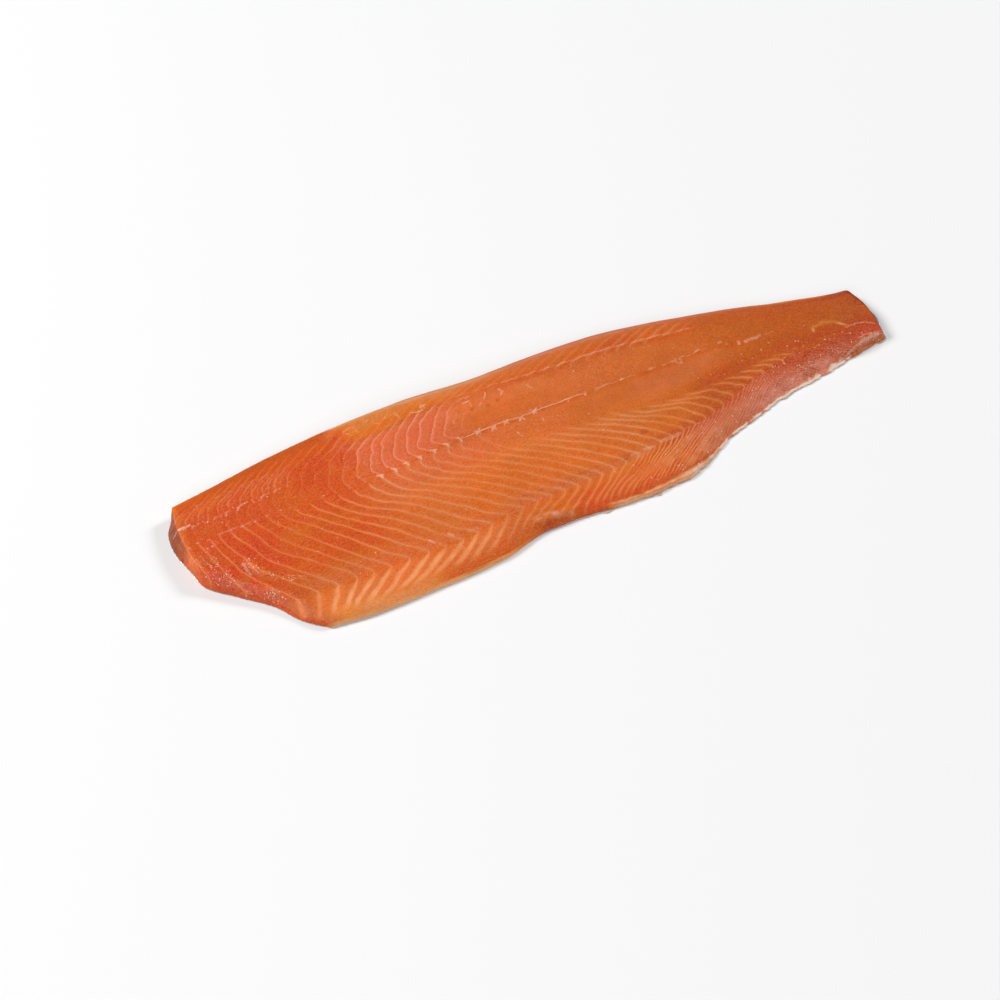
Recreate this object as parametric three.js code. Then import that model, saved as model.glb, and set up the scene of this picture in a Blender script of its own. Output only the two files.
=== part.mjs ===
// Smoked salmon side: one trimmed, skin-on half of a salmon, flesh side up.
// Millimetres, +Z up. The skin side rests flat on Z = 0.
// +X runs from the cut head end to the tail, +Y from the belly to the back.
// The origin lies under the middle of the side, on the plane that it rests on.
import * as THREE from 'three';

// ---------- driving dimensions ----------
// Edge curves are given as [X, value] stations, joined by smooth cubics.
const BACK_EDGE_Y = [[-277, 54.2], [-222, 63.2], [-172, 70.9], [-120, 75.7], [-75, 76.3], [-37, 74.7], [20, 77.3], [60, 77.2], [110, 72.2], [165, 62.0], [225, 48.4], [258, 41.8], [280, 40.4]];
const BELLY_EDGE_Y = [[-277, -69.0], [-205, -73.6], [-172, -76.2], [-118, -74.7], [-80, -72.4], [-40, -63.2], [-5, -63.4], [38, -66.2], [78, -62.0], [120, -45.2], [160, -32.8], [205, -23.2], [245, -15.2], [280, -9.2]];
const HEAD_END_X = [[0, -203], [0.08, -216], [0.22, -230], [0.36, -250], [0.49, -266], [0.6, -268.3], [0.7, -269.3], [0.8, -269.5], [0.9, -269], [1, -266.8]]; // over the width, belly 0 to back 1
const TAIL_END_X = [[0, 268.5], [0.25, 268.5], [0.55, 269.5], [0.8, 267.5], [1, 266.5]];

const CROWN_HEIGHT = [[-277, 23.6], [-180, 25.0], [-80, 25.2], [0, 24.0], [70, 21.6], [140, 17.6], [210, 13.4], [280, 10.4]]; // top of the loin along X
const CROSS_PROFILE = [[0, 0.17], [0.035, 0.27], [0.11, 0.38], [0.26, 0.55], [0.42, 0.735], [0.57, 0.89], [0.70, 0.98], [0.79, 1.0], [0.88, 0.95], [0.95, 0.80], [1, 0.53]]; // share of the crown, belly 0 to back 1
const TAIL_CROSS_PROFILE = [[0, 0.62], [0.08, 0.74], [0.25, 0.86], [0.5, 0.97], [0.66, 1.0], [0.85, 0.93], [0.95, 0.79], [1, 0.58]];
const TAIL_PROFILE_FROM = 120, TAIL_PROFILE_TO = 262; // X range over which the section turns into the tail's

const CENTRE_LINE_Y = [[-277, 35.2], [-205, 38.0], [-130, 22.5], [-60, 27.6], [0, 28.2], [100, 28.0], [180, 25.0], [280, 20.0]];
const CENTRE_GROOVE_DEPTH = 0.7, CENTRE_GROOVE_WIDTH = 4.0;

// Slices were carved off the head part: height of the knife's cut over the loin, along X, and its share across.
const CARVE_HEIGHT = [[-277, 12.0], [-225, 13.3], [-175, 15.2], [-141, 17.0], [-100, 19.8], [-62, 22.4], [-20, 25.6]];
const CARVE_PROFILE = [[0, 0.36], [0.1, 0.5], [0.3, 0.77], [0.5, 0.93], [0.7, 1.0], [0.88, 0.98], [1, 0.92]];
const STEP_X = -141, STEP_LEAN = 0.1, STEP_HEIGHT = 2.4, STEP_WIDTH = 4; // edge of the last slice
const CARVE_SOFTNESS = 0.7; // how softly the cut meets the natural surface

// Sides, from the top edge down to the resting face: outward offset at four levels.
const LEVELS = [0.64, 0.32, 0.1, 0]; // share of the edge height
const BELLY_OUT = [1.0, 1.5, 1.3, 0.7];
const BACK_OUT = [-0.2, -2.0, -4.4, -6.6];
const HEAD_OUT = [2.6, 5.0, 6.8, 7.4];
const TAIL_OUT = [2.2, 4.2, 7.0, 7.0];
const HEAD_OUT_SHARE = [[0, 0.25], [0.5, 0.25], [0.6, 0.35], [0.7, 0.8], [0.8, 1], [0.9, 0.85], [1, 0.25]]; // over the width
const TAIL_OUT_SHARE = [[0, 0.2], [0.3, 0.7], [0.55, 1], [0.75, 0.5], [0.9, 0.15], [1, 0.08]];
const CORNER_BLEND = 16;

const ALONG = 78, ACROSS = 24; // mesh divisions
const FLESH_COLOUR = 0xc8622c;

// ---------- helpers ----------
// Smooth curve through stations, with finite-difference slopes.
function through(stations) {
  const n = stations.length;
  const slope = stations.map(([x, y], i) => {
    const a = stations[Math.max(i - 1, 0)], b = stations[Math.min(i + 1, n - 1)];
    if (i === 0 || i === n - 1) return (b[1] - a[1]) / (b[0] - a[0]);
    const l = (y - a[1]) / (x - a[0]), r = (b[1] - y) / (b[0] - x);
    return (l * (b[0] - x) + r * (x - a[0])) / (b[0] - a[0]);
  });
  return (x) => {
    if (x <= stations[0][0]) return stations[0][1] + slope[0] * (x - stations[0][0]);
    if (x >= stations[n - 1][0]) return stations[n - 1][1] + slope[n - 1] * (x - stations[n - 1][0]);
    let i = 0;
    while (x > stations[i + 1][0]) i++;
    const h = stations[i + 1][0] - stations[i][0], t = (x - stations[i][0]) / h;
    const t2 = t * t, t3 = t2 * t;
    return (2 * t3 - 3 * t2 + 1) * stations[i][1] + (t3 - 2 * t2 + t) * h * slope[i]
      + (3 * t2 - 2 * t3) * stations[i + 1][1] + (t3 - t2) * h * slope[i + 1];
  };
}
const smooth = (a, b, x) => { const t = Math.min(1, Math.max(0, (x - a) / (b - a))); return t * t * (3 - 2 * t); };
const mix = (a, b, t) => a + (b - a) * t;

const backY = through(BACK_EDGE_Y), bellyY = through(BELLY_EDGE_Y);
const headX = through(HEAD_END_X), tailX = through(TAIL_END_X);
const crown = through(CROWN_HEIGHT), section = through(CROSS_PROFILE), tailSection = through(TAIL_CROSS_PROFILE);
const centreY = through(CENTRE_LINE_Y), carve = through(CARVE_HEIGHT), carveAcross = through(CARVE_PROFILE);

// ---------- top surface ----------
function topHeight(x, v) {
  const y = mix(bellyY(x), backY(x), v);
  let z = crown(x) * mix(section(v), tailSection(v), smooth(TAIL_PROFILE_FROM, TAIL_PROFILE_TO, x));
  z -= CENTRE_GROOVE_DEPTH * Math.exp(-(((y - centreY(x)) / CENTRE_GROOVE_WIDTH) ** 2));
  // the flatter cut takes over wherever it lies lower
  const step = STEP_HEIGHT * smooth(STEP_X - STEP_WIDTH, STEP_X + STEP_WIDTH, x + STEP_LEAN * y);
  const cut = (carve(x) + step) * carveAcross(v);
  const d = z - cut;
  return (z + cut - Math.sqrt(d * d + CARVE_SOFTNESS ** 2)) / 2;
}
// Rows across are closer together near the two edges, where the surface rounds off.
const spread = (t) => t - 0.62 * Math.sin(2 * Math.PI * t) / (2 * Math.PI);

const points = [], faces = [];
const at = (i, j) => i * (ACROSS + 1) + j;
for (let i = 0; i <= ALONG; i++) {
  for (let j = 0; j <= ACROSS; j++) {
    const v = spread(j / ACROSS), x = mix(headX(v), tailX(v), i / ALONG);
    points.push([x, mix(bellyY(x), backY(x), v), topHeight(x, v)]);
  }
}
for (let i = 0; i < ALONG; i++) {
  for (let j = 0; j < ACROSS; j++) {
    faces.push([at(i, j), at(i + 1, j), at(i + 1, j + 1)], [at(i, j), at(i + 1, j + 1), at(i, j + 1)]);
  }
}

// ---------- sides ----------
const rim = [], out = []; // anticlockwise seen from above
const share = (offsets, s) => offsets.map((o) => o * s);
const headShare = through(HEAD_OUT_SHARE), tailShare = through(TAIL_OUT_SHARE);
for (let i = 0; i < ALONG; i++) { rim.push(at(i, 0)); out.push(BELLY_OUT); }
for (let j = 0; j < ACROSS; j++) { rim.push(at(ALONG, j)); out.push(share(TAIL_OUT, tailShare(spread(j / ACROSS)))); }
for (let i = ALONG; i > 0; i--) { rim.push(at(i, ACROSS)); out.push(BACK_OUT); }
for (let j = ACROSS; j > 0; j--) { rim.push(at(0, j)); out.push(share(HEAD_OUT, headShare(spread(j / ACROSS)))); }
const count = rim.length;
const gap = (a, b) => Math.hypot(points[rim[a]][0] - points[rim[b]][0], points[rim[a]][1] - points[rim[b]][1]);
// Offsets of the four sides are averaged over a short length of the edge, so that corners turn smoothly.
function offsets(k) {
  const sum = new Array(LEVELS.length).fill(0);
  let weight = 0;
  for (const dir of [1, -1]) {
    let d = 0, a = k;
    while (d < CORNER_BLEND) {
      const w = (1 + Math.cos(Math.PI * d / CORNER_BLEND)) * (dir === -1 && a === k ? 0 : 1);
      out[a].forEach((o, l) => { sum[l] += o * w; });
      weight += w;
      const b = (a + dir + count) % count;
      d += gap(a, b);
      a = b;
    }
  }
  return sum.map((s) => s / weight);
}
function outward(k) {
  let nx = 0, ny = 0;
  for (let d = -3; d < 3; d++) {
    const p = points[rim[(k + d + count) % count]], q = points[rim[(k + d + 1 + count) % count]];
    const len = Math.hypot(q[0] - p[0], q[1] - p[1]) || 1;
    nx += (q[1] - p[1]) / len; ny -= (q[0] - p[0]) / len;
  }
  const l = Math.hypot(nx, ny);
  return [nx / l, ny / l];
}
const normals = rim.map((_, k) => outward(k)), outs = rim.map((_, k) => offsets(k));
let upper = rim.slice();
LEVELS.forEach((level, l) => {
  const ring = [];
  for (let k = 0; k < count; k++) {
    const [x, y, z] = points[rim[k]];
    ring.push(points.length);
    points.push([x + normals[k][0] * outs[k][l], y + normals[k][1] * outs[k][l], z * level]);
  }
  for (let k = 0; k < count; k++) {
    const n = (k + 1) % count;
    faces.push([upper[k], ring[k], ring[n]], [upper[k], ring[n], upper[n]]);
  }
  upper = ring;
});

// ---------- resting face ----------
const base = upper.map((p) => new THREE.Vector2(points[p][0], points[p][1]));
for (const [a, b, c] of THREE.ShapeUtils.triangulateShape(base, [])) faces.push([upper[a], upper[c], upper[b]]);

const geometry = new THREE.BufferGeometry();
geometry.setAttribute('position', new THREE.BufferAttribute(new Float32Array(points.flat()), 3));
geometry.setIndex(faces.flat());
geometry.computeBoundingBox();
const middle = geometry.boundingBox.getCenter(new THREE.Vector3());
geometry.translate(-middle.x, -middle.y, 0); // origin under the middle of the side
geometry.computeVertexNormals();

const salmon = new THREE.Mesh(geometry, new THREE.MeshStandardMaterial({ color: FLESH_COLOUR, roughness: 0.38, metalness: 0 }));
salmon.name = 'salmon_side';

const part = new THREE.Group();
part.add(salmon);
export default part;
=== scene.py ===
# A side of smoked salmon, lying skin side down. Lengths inside the shape functions are millimetres:
# x runs from the head end (-) to the tail (+), y from the belly (-) to the back (+), z up from the skin.
import bpy, math
import numpy as np
from mathutils import Matrix, Vector


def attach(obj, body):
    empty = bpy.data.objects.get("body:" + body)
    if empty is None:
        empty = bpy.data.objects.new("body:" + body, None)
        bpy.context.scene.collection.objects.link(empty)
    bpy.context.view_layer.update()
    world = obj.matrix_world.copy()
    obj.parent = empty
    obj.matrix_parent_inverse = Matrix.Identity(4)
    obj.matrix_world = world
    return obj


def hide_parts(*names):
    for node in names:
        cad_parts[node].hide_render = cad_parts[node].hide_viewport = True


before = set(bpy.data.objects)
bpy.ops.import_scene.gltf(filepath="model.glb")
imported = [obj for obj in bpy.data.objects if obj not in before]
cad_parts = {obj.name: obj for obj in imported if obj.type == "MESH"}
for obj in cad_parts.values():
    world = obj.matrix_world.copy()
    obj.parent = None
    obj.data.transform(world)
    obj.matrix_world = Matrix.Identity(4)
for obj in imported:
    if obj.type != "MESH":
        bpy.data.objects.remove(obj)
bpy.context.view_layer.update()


# ------------------------------------------------------------------ shape of the side (as in the CAD part)
ORIGIN = (0.43715, 0.16057)  # added to x, y: puts the origin under the middle of the side

BACK_EDGE_Y = [(-277, 54.2), (-222, 63.2), (-172, 70.9), (-120, 75.7), (-75, 76.3), (-37, 74.7), (20, 77.3), (60, 77.2), (110, 72.2), (165, 62.0), (225, 48.4), (258, 41.8), (280, 40.4)]
BELLY_EDGE_Y = [(-277, -69.0), (-205, -73.6), (-172, -76.2), (-118, -74.7), (-80, -72.4), (-40, -63.2), (-5, -63.4), (38, -66.2), (78, -62.0), (120, -45.2), (160, -32.8), (205, -23.2), (245, -15.2), (280, -9.2)]
HEAD_END_X = [(0, -203), (0.08, -216), (0.22, -230), (0.36, -250), (0.49, -266), (0.6, -268.3), (0.7, -269.3), (0.8, -269.5), (0.9, -269), (1, -266.8)]
TAIL_END_X = [(0, 268.5), (0.25, 268.5), (0.55, 269.5), (0.8, 267.5), (1, 266.5)]
CROWN_HEIGHT = [(-277, 23.6), (-180, 25.0), (-80, 25.2), (0, 24.0), (70, 21.6), (140, 17.6), (210, 13.4), (280, 10.4)]
CROSS_PROFILE = [(0, 0.17), (0.035, 0.27), (0.11, 0.38), (0.26, 0.55), (0.42, 0.735), (0.57, 0.89), (0.70, 0.98), (0.79, 1.0), (0.88, 0.95), (0.95, 0.80), (1, 0.53)]
TAIL_CROSS_PROFILE = [(0, 0.62), (0.08, 0.74), (0.25, 0.86), (0.5, 0.97), (0.66, 1.0), (0.85, 0.93), (0.95, 0.79), (1, 0.58)]
CARVE_HEIGHT = [(-277, 12.0), (-225, 13.3), (-175, 15.2), (-141, 17.0), (-100, 19.8), (-62, 22.4), (-20, 25.6)]
CARVE_PROFILE = [(0, 0.36), (0.1, 0.5), (0.3, 0.77), (0.5, 0.93), (0.7, 1.0), (0.88, 0.98), (1, 0.92)]
STEP_X, STEP_LEAN, STEP_HEIGHT, STEP_WIDTH = -141, 0.1, 2.4, 4
CARVE_SOFTNESS = 0.7
LEVELS = (1.0, 0.64, 0.32, 0.1, 0.0)
BELLY_OUT = (0, 1.0, 1.5, 1.3, 0.7)
BACK_OUT = (0, -0.2, -2.0, -4.4, -6.6)
HEAD_OUT = (0, 2.6, 5.0, 6.8, 7.4)
TAIL_OUT = (0, 2.2, 4.2, 7.0, 7.0)
HEAD_OUT_SHARE = [(0, 0.25), (0.5, 0.25), (0.6, 0.35), (0.7, 0.8), (0.8, 1), (0.9, 0.85), (1, 0.25)]
TAIL_OUT_SHARE = [(0, 0.2), (0.3, 0.7), (0.55, 1), (0.75, 0.5), (0.9, 0.15), (1, 0.08)]
CORNER_BLEND = 16


def through(stations):
    """Smooth curve through stations, straight beyond its ends."""
    xs = np.array([a for a, b in stations], float)
    ys = np.array([b for a, b in stations], float)
    n = len(xs)
    d = np.diff(ys) / np.diff(xs)
    sl = np.zeros(n)
    sl[0], sl[-1] = d[0], d[-1]
    for i in range(1, n - 1):
        sl[i] = (d[i - 1] * (xs[i + 1] - xs[i]) + d[i] * (xs[i] - xs[i - 1])) / (xs[i + 1] - xs[i - 1])

    def fn(x):
        x = np.asarray(x, float)
        i = np.clip(np.searchsorted(xs, x) - 1, 0, n - 2)
        h = xs[i + 1] - xs[i]
        t = (x - xs[i]) / h
        t2 = t * t
        t3 = t2 * t
        r = (2 * t3 - 3 * t2 + 1) * ys[i] + (t3 - 2 * t2 + t) * h * sl[i] + (3 * t2 - 2 * t3) * ys[i + 1] + (t3 - t2) * h * sl[i + 1]
        r = np.where(x <= xs[0], ys[0] + sl[0] * (x - xs[0]), r)
        return np.where(x >= xs[-1], ys[-1] + sl[-1] * (x - xs[-1]), r)

    return fn


def smooth(a, b, x):
    t = np.clip((np.asarray(x, float) - a) / (b - a), 0, 1)
    return t * t * (3 - 2 * t)


def band(a, b, c, d, x):
    """0 below a, 1 from b to c, 0 above d."""
    return smooth(a, b, x) * (1 - smooth(c, d, x))


def mix(a, b, t):
    return a + (b - a) * t


def bump(x, y, cx, cy, rx, ry, turn=0.0):
    """Soft round mark of radii rx, ry."""
    c, s = math.cos(math.radians(turn)), math.sin(math.radians(turn))
    dx, dy = x - cx, y - cy
    return np.exp(-(((dx * c + dy * s) / rx) ** 2) - ((-dx * s + dy * c) / ry) ** 2)


def noise(x, y, cell, seed, squeeze=1.0):
    """Smooth random field from -1 to 1; squeeze > 1 draws it out along x."""
    u, w = np.asarray(x, float) / (cell * squeeze), np.asarray(y, float) / cell
    iu, iw = np.floor(u), np.floor(w)
    fu, fw = u - iu, w - iw
    fu, fw = fu * fu * (3 - 2 * fu), fw * fw * (3 - 2 * fw)

    def r(a, b):
        h = np.sin(a * 127.1 + b * 311.7 + seed * 74.7) * 43758.5453
        return 2 * (h - np.floor(h)) - 1

    return mix(mix(r(iu, iw), r(iu + 1, iw), fu), mix(r(iu, iw + 1), r(iu + 1, iw + 1), fu), fw)


def fbm(x, y, cell, seed, octaves=3, squeeze=1.0):
    total, amp, norm = 0.0, 1.0, 0.0
    for o in range(octaves):
        total = total + amp * noise(x, y, cell / 2 ** o, seed + 13 * o, squeeze)
        norm += amp
        amp *= 0.55
    return total / norm


back_y, belly_y = through(BACK_EDGE_Y), through(BELLY_EDGE_Y)
head_x, tail_x = through(HEAD_END_X), through(TAIL_END_X)
crown, section, tail_section = through(CROWN_HEIGHT), through(CROSS_PROFILE), through(TAIL_CROSS_PROFILE)
carve, carve_across = through(CARVE_HEIGHT), through(CARVE_PROFILE)

# curves along the side: the seam over the backbone, the line below the back, and the belly hinge
SEAM_Y = [(-285, 18), (-268, 18.3), (-246, 19.6), (-211, 20), (-190, 18.5), (-150, 14.3), (-129, 14), (-109, 16), (-88, 17.3), (-66, 19), (-53, 19.7), (-38, 20.2), (-20, 20.3), (0, 20.9), (32, 21.8), (62, 22.5), (86, 23.4), (109, 24), (128, 25.6), (146, 25), (160, 21.7), (190, 21.4), (230, 17), (285, 13)]
DORSAL_Y = [(-285, 48), (-255, 49), (-225, 51), (-205, 52.4), (-190, 53.2), (-165, 53), (-130, 50.5), (-110, 51.5), (-88, 54), (-60, 54.6), (-30, 54), (0, 53.3), (28, 52.5), (64, 52.5), (90, 50.9), (115, 49), (130, 48), (150, 45), (180, 41.5), (230, 33), (285, 26)]
HINGE_Y = [(-285, -45), (-216, -47.5), (-172, -50), (-122, -51.3), (-97, -52), (-80, -49), (-49, -44.3), (0, -42.3), (33, -40), (60, -35), (80, -31), (106, -26.5), (132, -17), (155, -9.5), (185, -4), (230, -2), (285, 2)]
seam_y, dorsal_y, hinge_y = through(SEAM_Y), through(DORSAL_Y), through(HINGE_Y)


def top_height(x, v):
    y = mix(belly_y(x), back_y(x), v)
    z = crown(x) * mix(section(v), tail_section(v), smooth(120, 262, x))
    z = z - 0.35 * np.exp(-(((y - seam_y(x)) / 4.0) ** 2)) * band(-150, -120, 150, 200, x)
    wide = mix(mix(17, 6, smooth(44, 54, y)), 30, smooth(-15, -42, y))  # the step dies away towards the belly
    step = STEP_HEIGHT * smooth(0, 1, (x + STEP_LEAN * y - STEP_X + wide) / (2 * wide))
    cut = (carve(x) + step) * carve_across(v)
    d = z - cut
    return (z + cut - np.sqrt(d * d + CARVE_SOFTNESS ** 2)) / 2, z - cut


# ------------------------------------------------------------------ the muscle lines
# Line k crosses the seam at KNOT_X[k] and turns back at the hinge at APEX_X[k].
KNOT_X = [(-18, -298), (-14, -261), (-12, -246), (-10, -229.5), (-8, -212), (-6, -192.5), (-4, -172), (0, -129), (2, -109), (3, -99), (5, -77.5), (6, -67), (7, -53.5), (8, -42), (10, -20), (12, 0), (14, 20), (15, 32), (16, 45), (18, 62), (20, 87), (22, 110), (25, 140), (28, 170), (33, 218), (40, 285)]
APEX_X = [(-18, -286), (-13, -216), (-12, -201.5), (-10, -173.5), (-8, -149.5), (-6, -122), (-4, -97), (-2, -73), (0, -48.5), (2, -26), (4, -6.5), (6, 14), (8, 35.5), (10, 56), (12, 75), (14, 97), (16, 114.5), (18, 134), (19, 147), (20, 156), (23, 185), (28, 235), (33, 285), (40, 355)]
# How far along the side a line has run at each height between the curves: 0 at the seam, 1 the line below the
# back, 2 the back edge, -1 the hinge, -2 the belly edge. RUN_DOWN is a share of the way from knot to apex, the
# others are millimetres. Lines not listed run between those that are.
UP = (0, 0.1, 0.2, 0.3, 0.4, 0.5, 0.6, 0.7, 0.8, 0.9, 1, 1.27, 1.55, 1.8, 2)
RUN_UP = {
    -12: (0, -0.3, 0, 0.4, 2, 4.5, 6, 6.6, 9, 13.5, 19, 25, 31, 37, 41),
    0: (0, -2.5, -4.6, -3.7, -2, -0.2, 2.3, 3, 5.7, 11.5, 18, 29, 40, 50, 58),
    1: (0, -2.6, -5, -5, -3.8, -2, 0.2, 1.4, 4.8, 9.5, 16, 27, 38, 48, 56),
    3: (0, -3, -5.6, -5.2, -4, -1.8, -0.6, 1.8, 7, 11.5, 17, 28, 39, 49, 57),
    4: (0, -4, -7.9, -7, -4.2, -2.2, -0.6, 1.2, 5, 11, 18, 29, 40, 50, 58),
    5: (0, -4.5, -8.4, -6.8, -4.3, -2.5, -0.3, 2.5, 5.3, 10.5, 17, 28, 39, 49, 57),
    6: (0, -6, -9, -7.8, -5.7, -3, -0.6, 1, 6, 11, 15, 26, 37, 47, 55),
    10: (0, -5, -7.5, -6, -4, -1, 2, 5, 8, 10.5, 12.5, 23.3, 34.5, 44.5, 52.5),
    12: (0, -5, -7, -5.5, -3, 0, 3.5, 7, 10, 13, 17, 28, 39, 49, 57),
    14: (0, -5, -6.5, -5, -2, 1, 5, 9, 13.5, 15, 21, 32, 43, 53, 61),
    18: (0, -4, -5, -3, 1, 5, 10, 15, 20, 21, 26, 37, 48, 58, 66),
}
DOWN = (0, 0.05, 0.1, 0.15, 0.2, 0.25, 0.3, 0.4, 0.5, 0.6, 0.65, 0.7, 0.8, 0.9, 1)
RUN_DOWN = {
    -12: (0, 0.013, 0.031, 0.06, 0.09, 0.12, 0.15, 0.221, 0.27, 0.383, 0.448, 0.513, 0.644, 0.81, 1),
    -10: (0, 0.021, 0.042, 0.076, 0.11, 0.14, 0.166, 0.229, 0.321, 0.457, 0.525, 0.593, 0.728, 0.864, 1),
    -7: (0, 0.02, 0.05, 0.10, 0.155, 0.205, 0.255, 0.355, 0.455, 0.55, 0.60, 0.645, 0.735, 0.84, 1),
    0: (0, 0.008, 0.025, 0.055, 0.084, 0.121, 0.166, 0.312, 0.439, 0.545, 0.600, 0.657, 0.75, 0.84, 1),
    2: (0, -0.008, 0.002, 0.037, 0.085, 0.119, 0.166, 0.316, 0.437, 0.547, 0.597, 0.645, 0.739, 0.837, 1),
    4: (0, -0.016, -0.022, 0.007, 0.068, 0.107, 0.154, 0.327, 0.441, 0.568, 0.632, 0.683, 0.78, 0.877, 1),
    6: (0, -0.016, -0.028, 0.009, 0.07, 0.127, 0.187, 0.327, 0.455, 0.586, 0.644, 0.701, 0.805, 0.896, 1),
    8: (0, 0.02, 0.043, 0.066, 0.089, 0.112, 0.142, 0.277, 0.439, 0.58, 0.644, 0.696, 0.805, 0.901, 1),
    10: (0, 0.02, 0.04, 0.061, 0.081, 0.101, 0.124, 0.28, 0.451, 0.608, 0.67, 0.73, 0.828, 0.911, 1),
    12: (0, 0.034, 0.068, 0.102, 0.136, 0.17, 0.21, 0.3, 0.486, 0.613, 0.672, 0.732, 0.829, 0.907, 1),
    13: (0, 0.034, 0.068, 0.102, 0.136, 0.17, 0.21, 0.304, 0.449, 0.599, 0.66, 0.718, 0.821, 0.9, 1),
    14: (0, 0.033, 0.066, 0.099, 0.132, 0.168, 0.205, 0.288, 0.407, 0.548, 0.626, 0.695, 0.807, 0.89, 1),
    15: (0, 0.033, 0.066, 0.099, 0.132, 0.168, 0.205, 0.276, 0.365, 0.53, 0.655, 0.76, 0.859, 0.928, 1),
    16: (0, 0.033, 0.066, 0.099, 0.132, 0.165, 0.2, 0.27, 0.36, 0.54, 0.69, 0.782, 0.88, 0.948, 1),
    17: (0, 0.033, 0.066, 0.099, 0.132, 0.165, 0.2, 0.27, 0.37, 0.56, 0.72, 0.80, 0.876, 0.942, 1),
    18: (0, 0.04, 0.08, 0.12, 0.16, 0.2, 0.25, 0.345, 0.46, 0.62, 0.72, 0.80, 0.872, 0.94, 1),
    19: (0, 0.045, 0.09, 0.135, 0.18, 0.23, 0.285, 0.39, 0.50, 0.61, 0.68, 0.755, 0.852, 0.92, 1),
    20: (0, 0.05, 0.1, 0.15, 0.2, 0.25, 0.31, 0.416, 0.52, 0.624, 0.676, 0.73, 0.847, 0.934, 1),
}
UNDER = (0, 0.1, 0.2, 0.3, 0.4, 0.5, 0.6, 0.7, 0.8, 0.9, 1)
RUN_UNDER = {
    -18: (0, 0.3, 0.6, 0.9, 1.3, 1.6, 2, 2.5, 3, 3.5, 4), -13: (0, -0.4, -0.8, -1.2, -1.7, -1.8, -1.4, -1.0, -0.6, -0.2, 0.2),
    -12: (0, -0.7, -1.3, -2.4, -3.6, -4.8, -5.9, -6.9, -7.7, -8.5, -9.1), -11: (0, -1.3, -2.6, -3.9, -5.7, -7.7, -9.3, -10.8, -12.2, -13.4, -14.5),
    -10: (0, -2.2, -4.3, -6.4, -8.5, -10.9, -13.3, -15.9, -18.6, -20.6, -22.4), -9: (0, -2.2, -4.5, -7.5, -10.4, -13.9, -17.4, -20.1, -22.8, -25.5, -27.9),
    -8: (0, -1.8, -4.9, -8.3, -11.8, -15.4, -19.1, -22.7, -26.2, -29.1, -31.9), -6: (0, -2.5, -5.6, -9.4, -13.1, -16.3, -20.5, -26.2, -32, -37, -41),
    -4: (0, -3, -6.3, -9.7, -13.4, -17.3, -21.7, -26.6, -32, -37, -41), -2: (0, -2.6, -5.2, -8.4, -12, -15.5, -19, -23, -27, -31, -34),
    0: (0, -2.2, -4.6, -7.5, -11, -14, -17, -20, -23, -26, -29), 3: (0, -1.7, -3.5, -6.8, -11.2, -15.6, -19.4, -22.3, -25, -27, -29),
    4: (0, -1.7, -3.3, -6, -8.9, -12.1, -15.2, -17.8, -20.3, -22.8, -25.3), 6: (0, -2.5, -5.1, -7.8, -11, -14, -16.6, -19.3, -21.6, -23.3, -24.8),
    7: (0, -4.4, -7.1, -9.5, -12.7, -16.2, -20.3, -23.1, -24.9, -26.2, -27.3), 8: (0, -5.4, -9.5, -13.2, -17, -20.9, -24.5, -27.7, -30.5, -31.9, -33),
    9: (0, -6, -11, -15.7, -20.6, -25.4, -29.7, -32.8, -35, -36.9, -38.4), 10: (0, -5, -9.7, -14.2, -20.2, -27.5, -33.1, -36.6, -39.2, -41.4, -43),
    12: (0, -3.2, -7, -14, -20, -28.7, -37, -42.9, -46.9, -49.6, -52), 15: (0, -4.5, -9.8, -18.5, -28, -36, -43.7, -48.5, -52.9, -57.3, -61.7),
    17: (0, -2.7, -6.1, -12, -19, -27.2, -36, -43.3, -50.7, -58, -65.3), 18: (0, -3, -6.5, -12, -20, -29, -38, -46, -53, -59, -64),
    20: (0, -4, -8, -13, -19, -25, -31, -37, -42, -47, -52), 23: (0, -4, -9, -14, -19, -25, -30, -35, -40, -45, -50), 40: (0, -4, -8, -12, -16, -20, -24, -28, -32, -36, -40),
}


def between(tables, k):
    """The run table for line k, between the tables of the lines it stands between."""
    keys = sorted(tables)
    rows = np.array([tables[q] for q in keys])
    t = np.interp(k, keys, range(len(keys)))
    i = np.clip(np.floor(t).astype(int), 0, len(keys) - 2)
    f = (t - i)[:, None]
    return rows[i] * (1 - f) + rows[i + 1] * f


def line_field():
    """Line number over a grid of (height between the curves, x)."""
    ks = np.arange(-18, 40.01, 0.25)
    knots, apexes = through(KNOT_X)(ks), through(APEX_X)(ks)
    up, down, under = between(RUN_UP, ks), between(RUN_DOWN, ks), between(RUN_UNDER, ks)
    ws = np.linspace(-2, 2, 161)
    xs = np.arange(-300, 300.1, 1.0)
    rows = []
    for w in ws:
        if w >= 0:
            rows.append(knots + np.array([through(list(zip(UP, row)))(w) for row in up]))
        elif w >= -1:
            rows.append(knots + (apexes - knots) * np.array([through(list(zip(DOWN, row)))(-w) for row in down]))
        else:
            rows.append(apexes + np.array([through(list(zip(UNDER, row)))(-1 - w) for row in under]))
    at = np.array(rows)
    turn = np.exp(-(((ws + 1) / 0.1) ** 2))[:, None]  # the turn at the hinge is round
    for _ in range(7):
        at[1:-1] = mix(at[1:-1], (at[:-2] + 2 * at[1:-1] + at[2:]) / 4, turn[1:-1])
    field = np.zeros((len(ws), len(xs)))
    for m in range(len(ws)):
        row = np.maximum.accumulate(at[m] + 1e-6 * np.arange(len(ks)))
        field[m] = np.interp(xs, row, ks)
        # straight on beyond the last lines
        lo, hi = xs < row[0], xs > row[-1]
        field[m][lo] = ks[0] + (xs[lo] - row[0]) / 9.0
        field[m][hi] = ks[-1] + (xs[hi] - row[-1]) / 10.0
    return ws, xs, field


WS, XS, FIELD = line_field()


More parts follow.
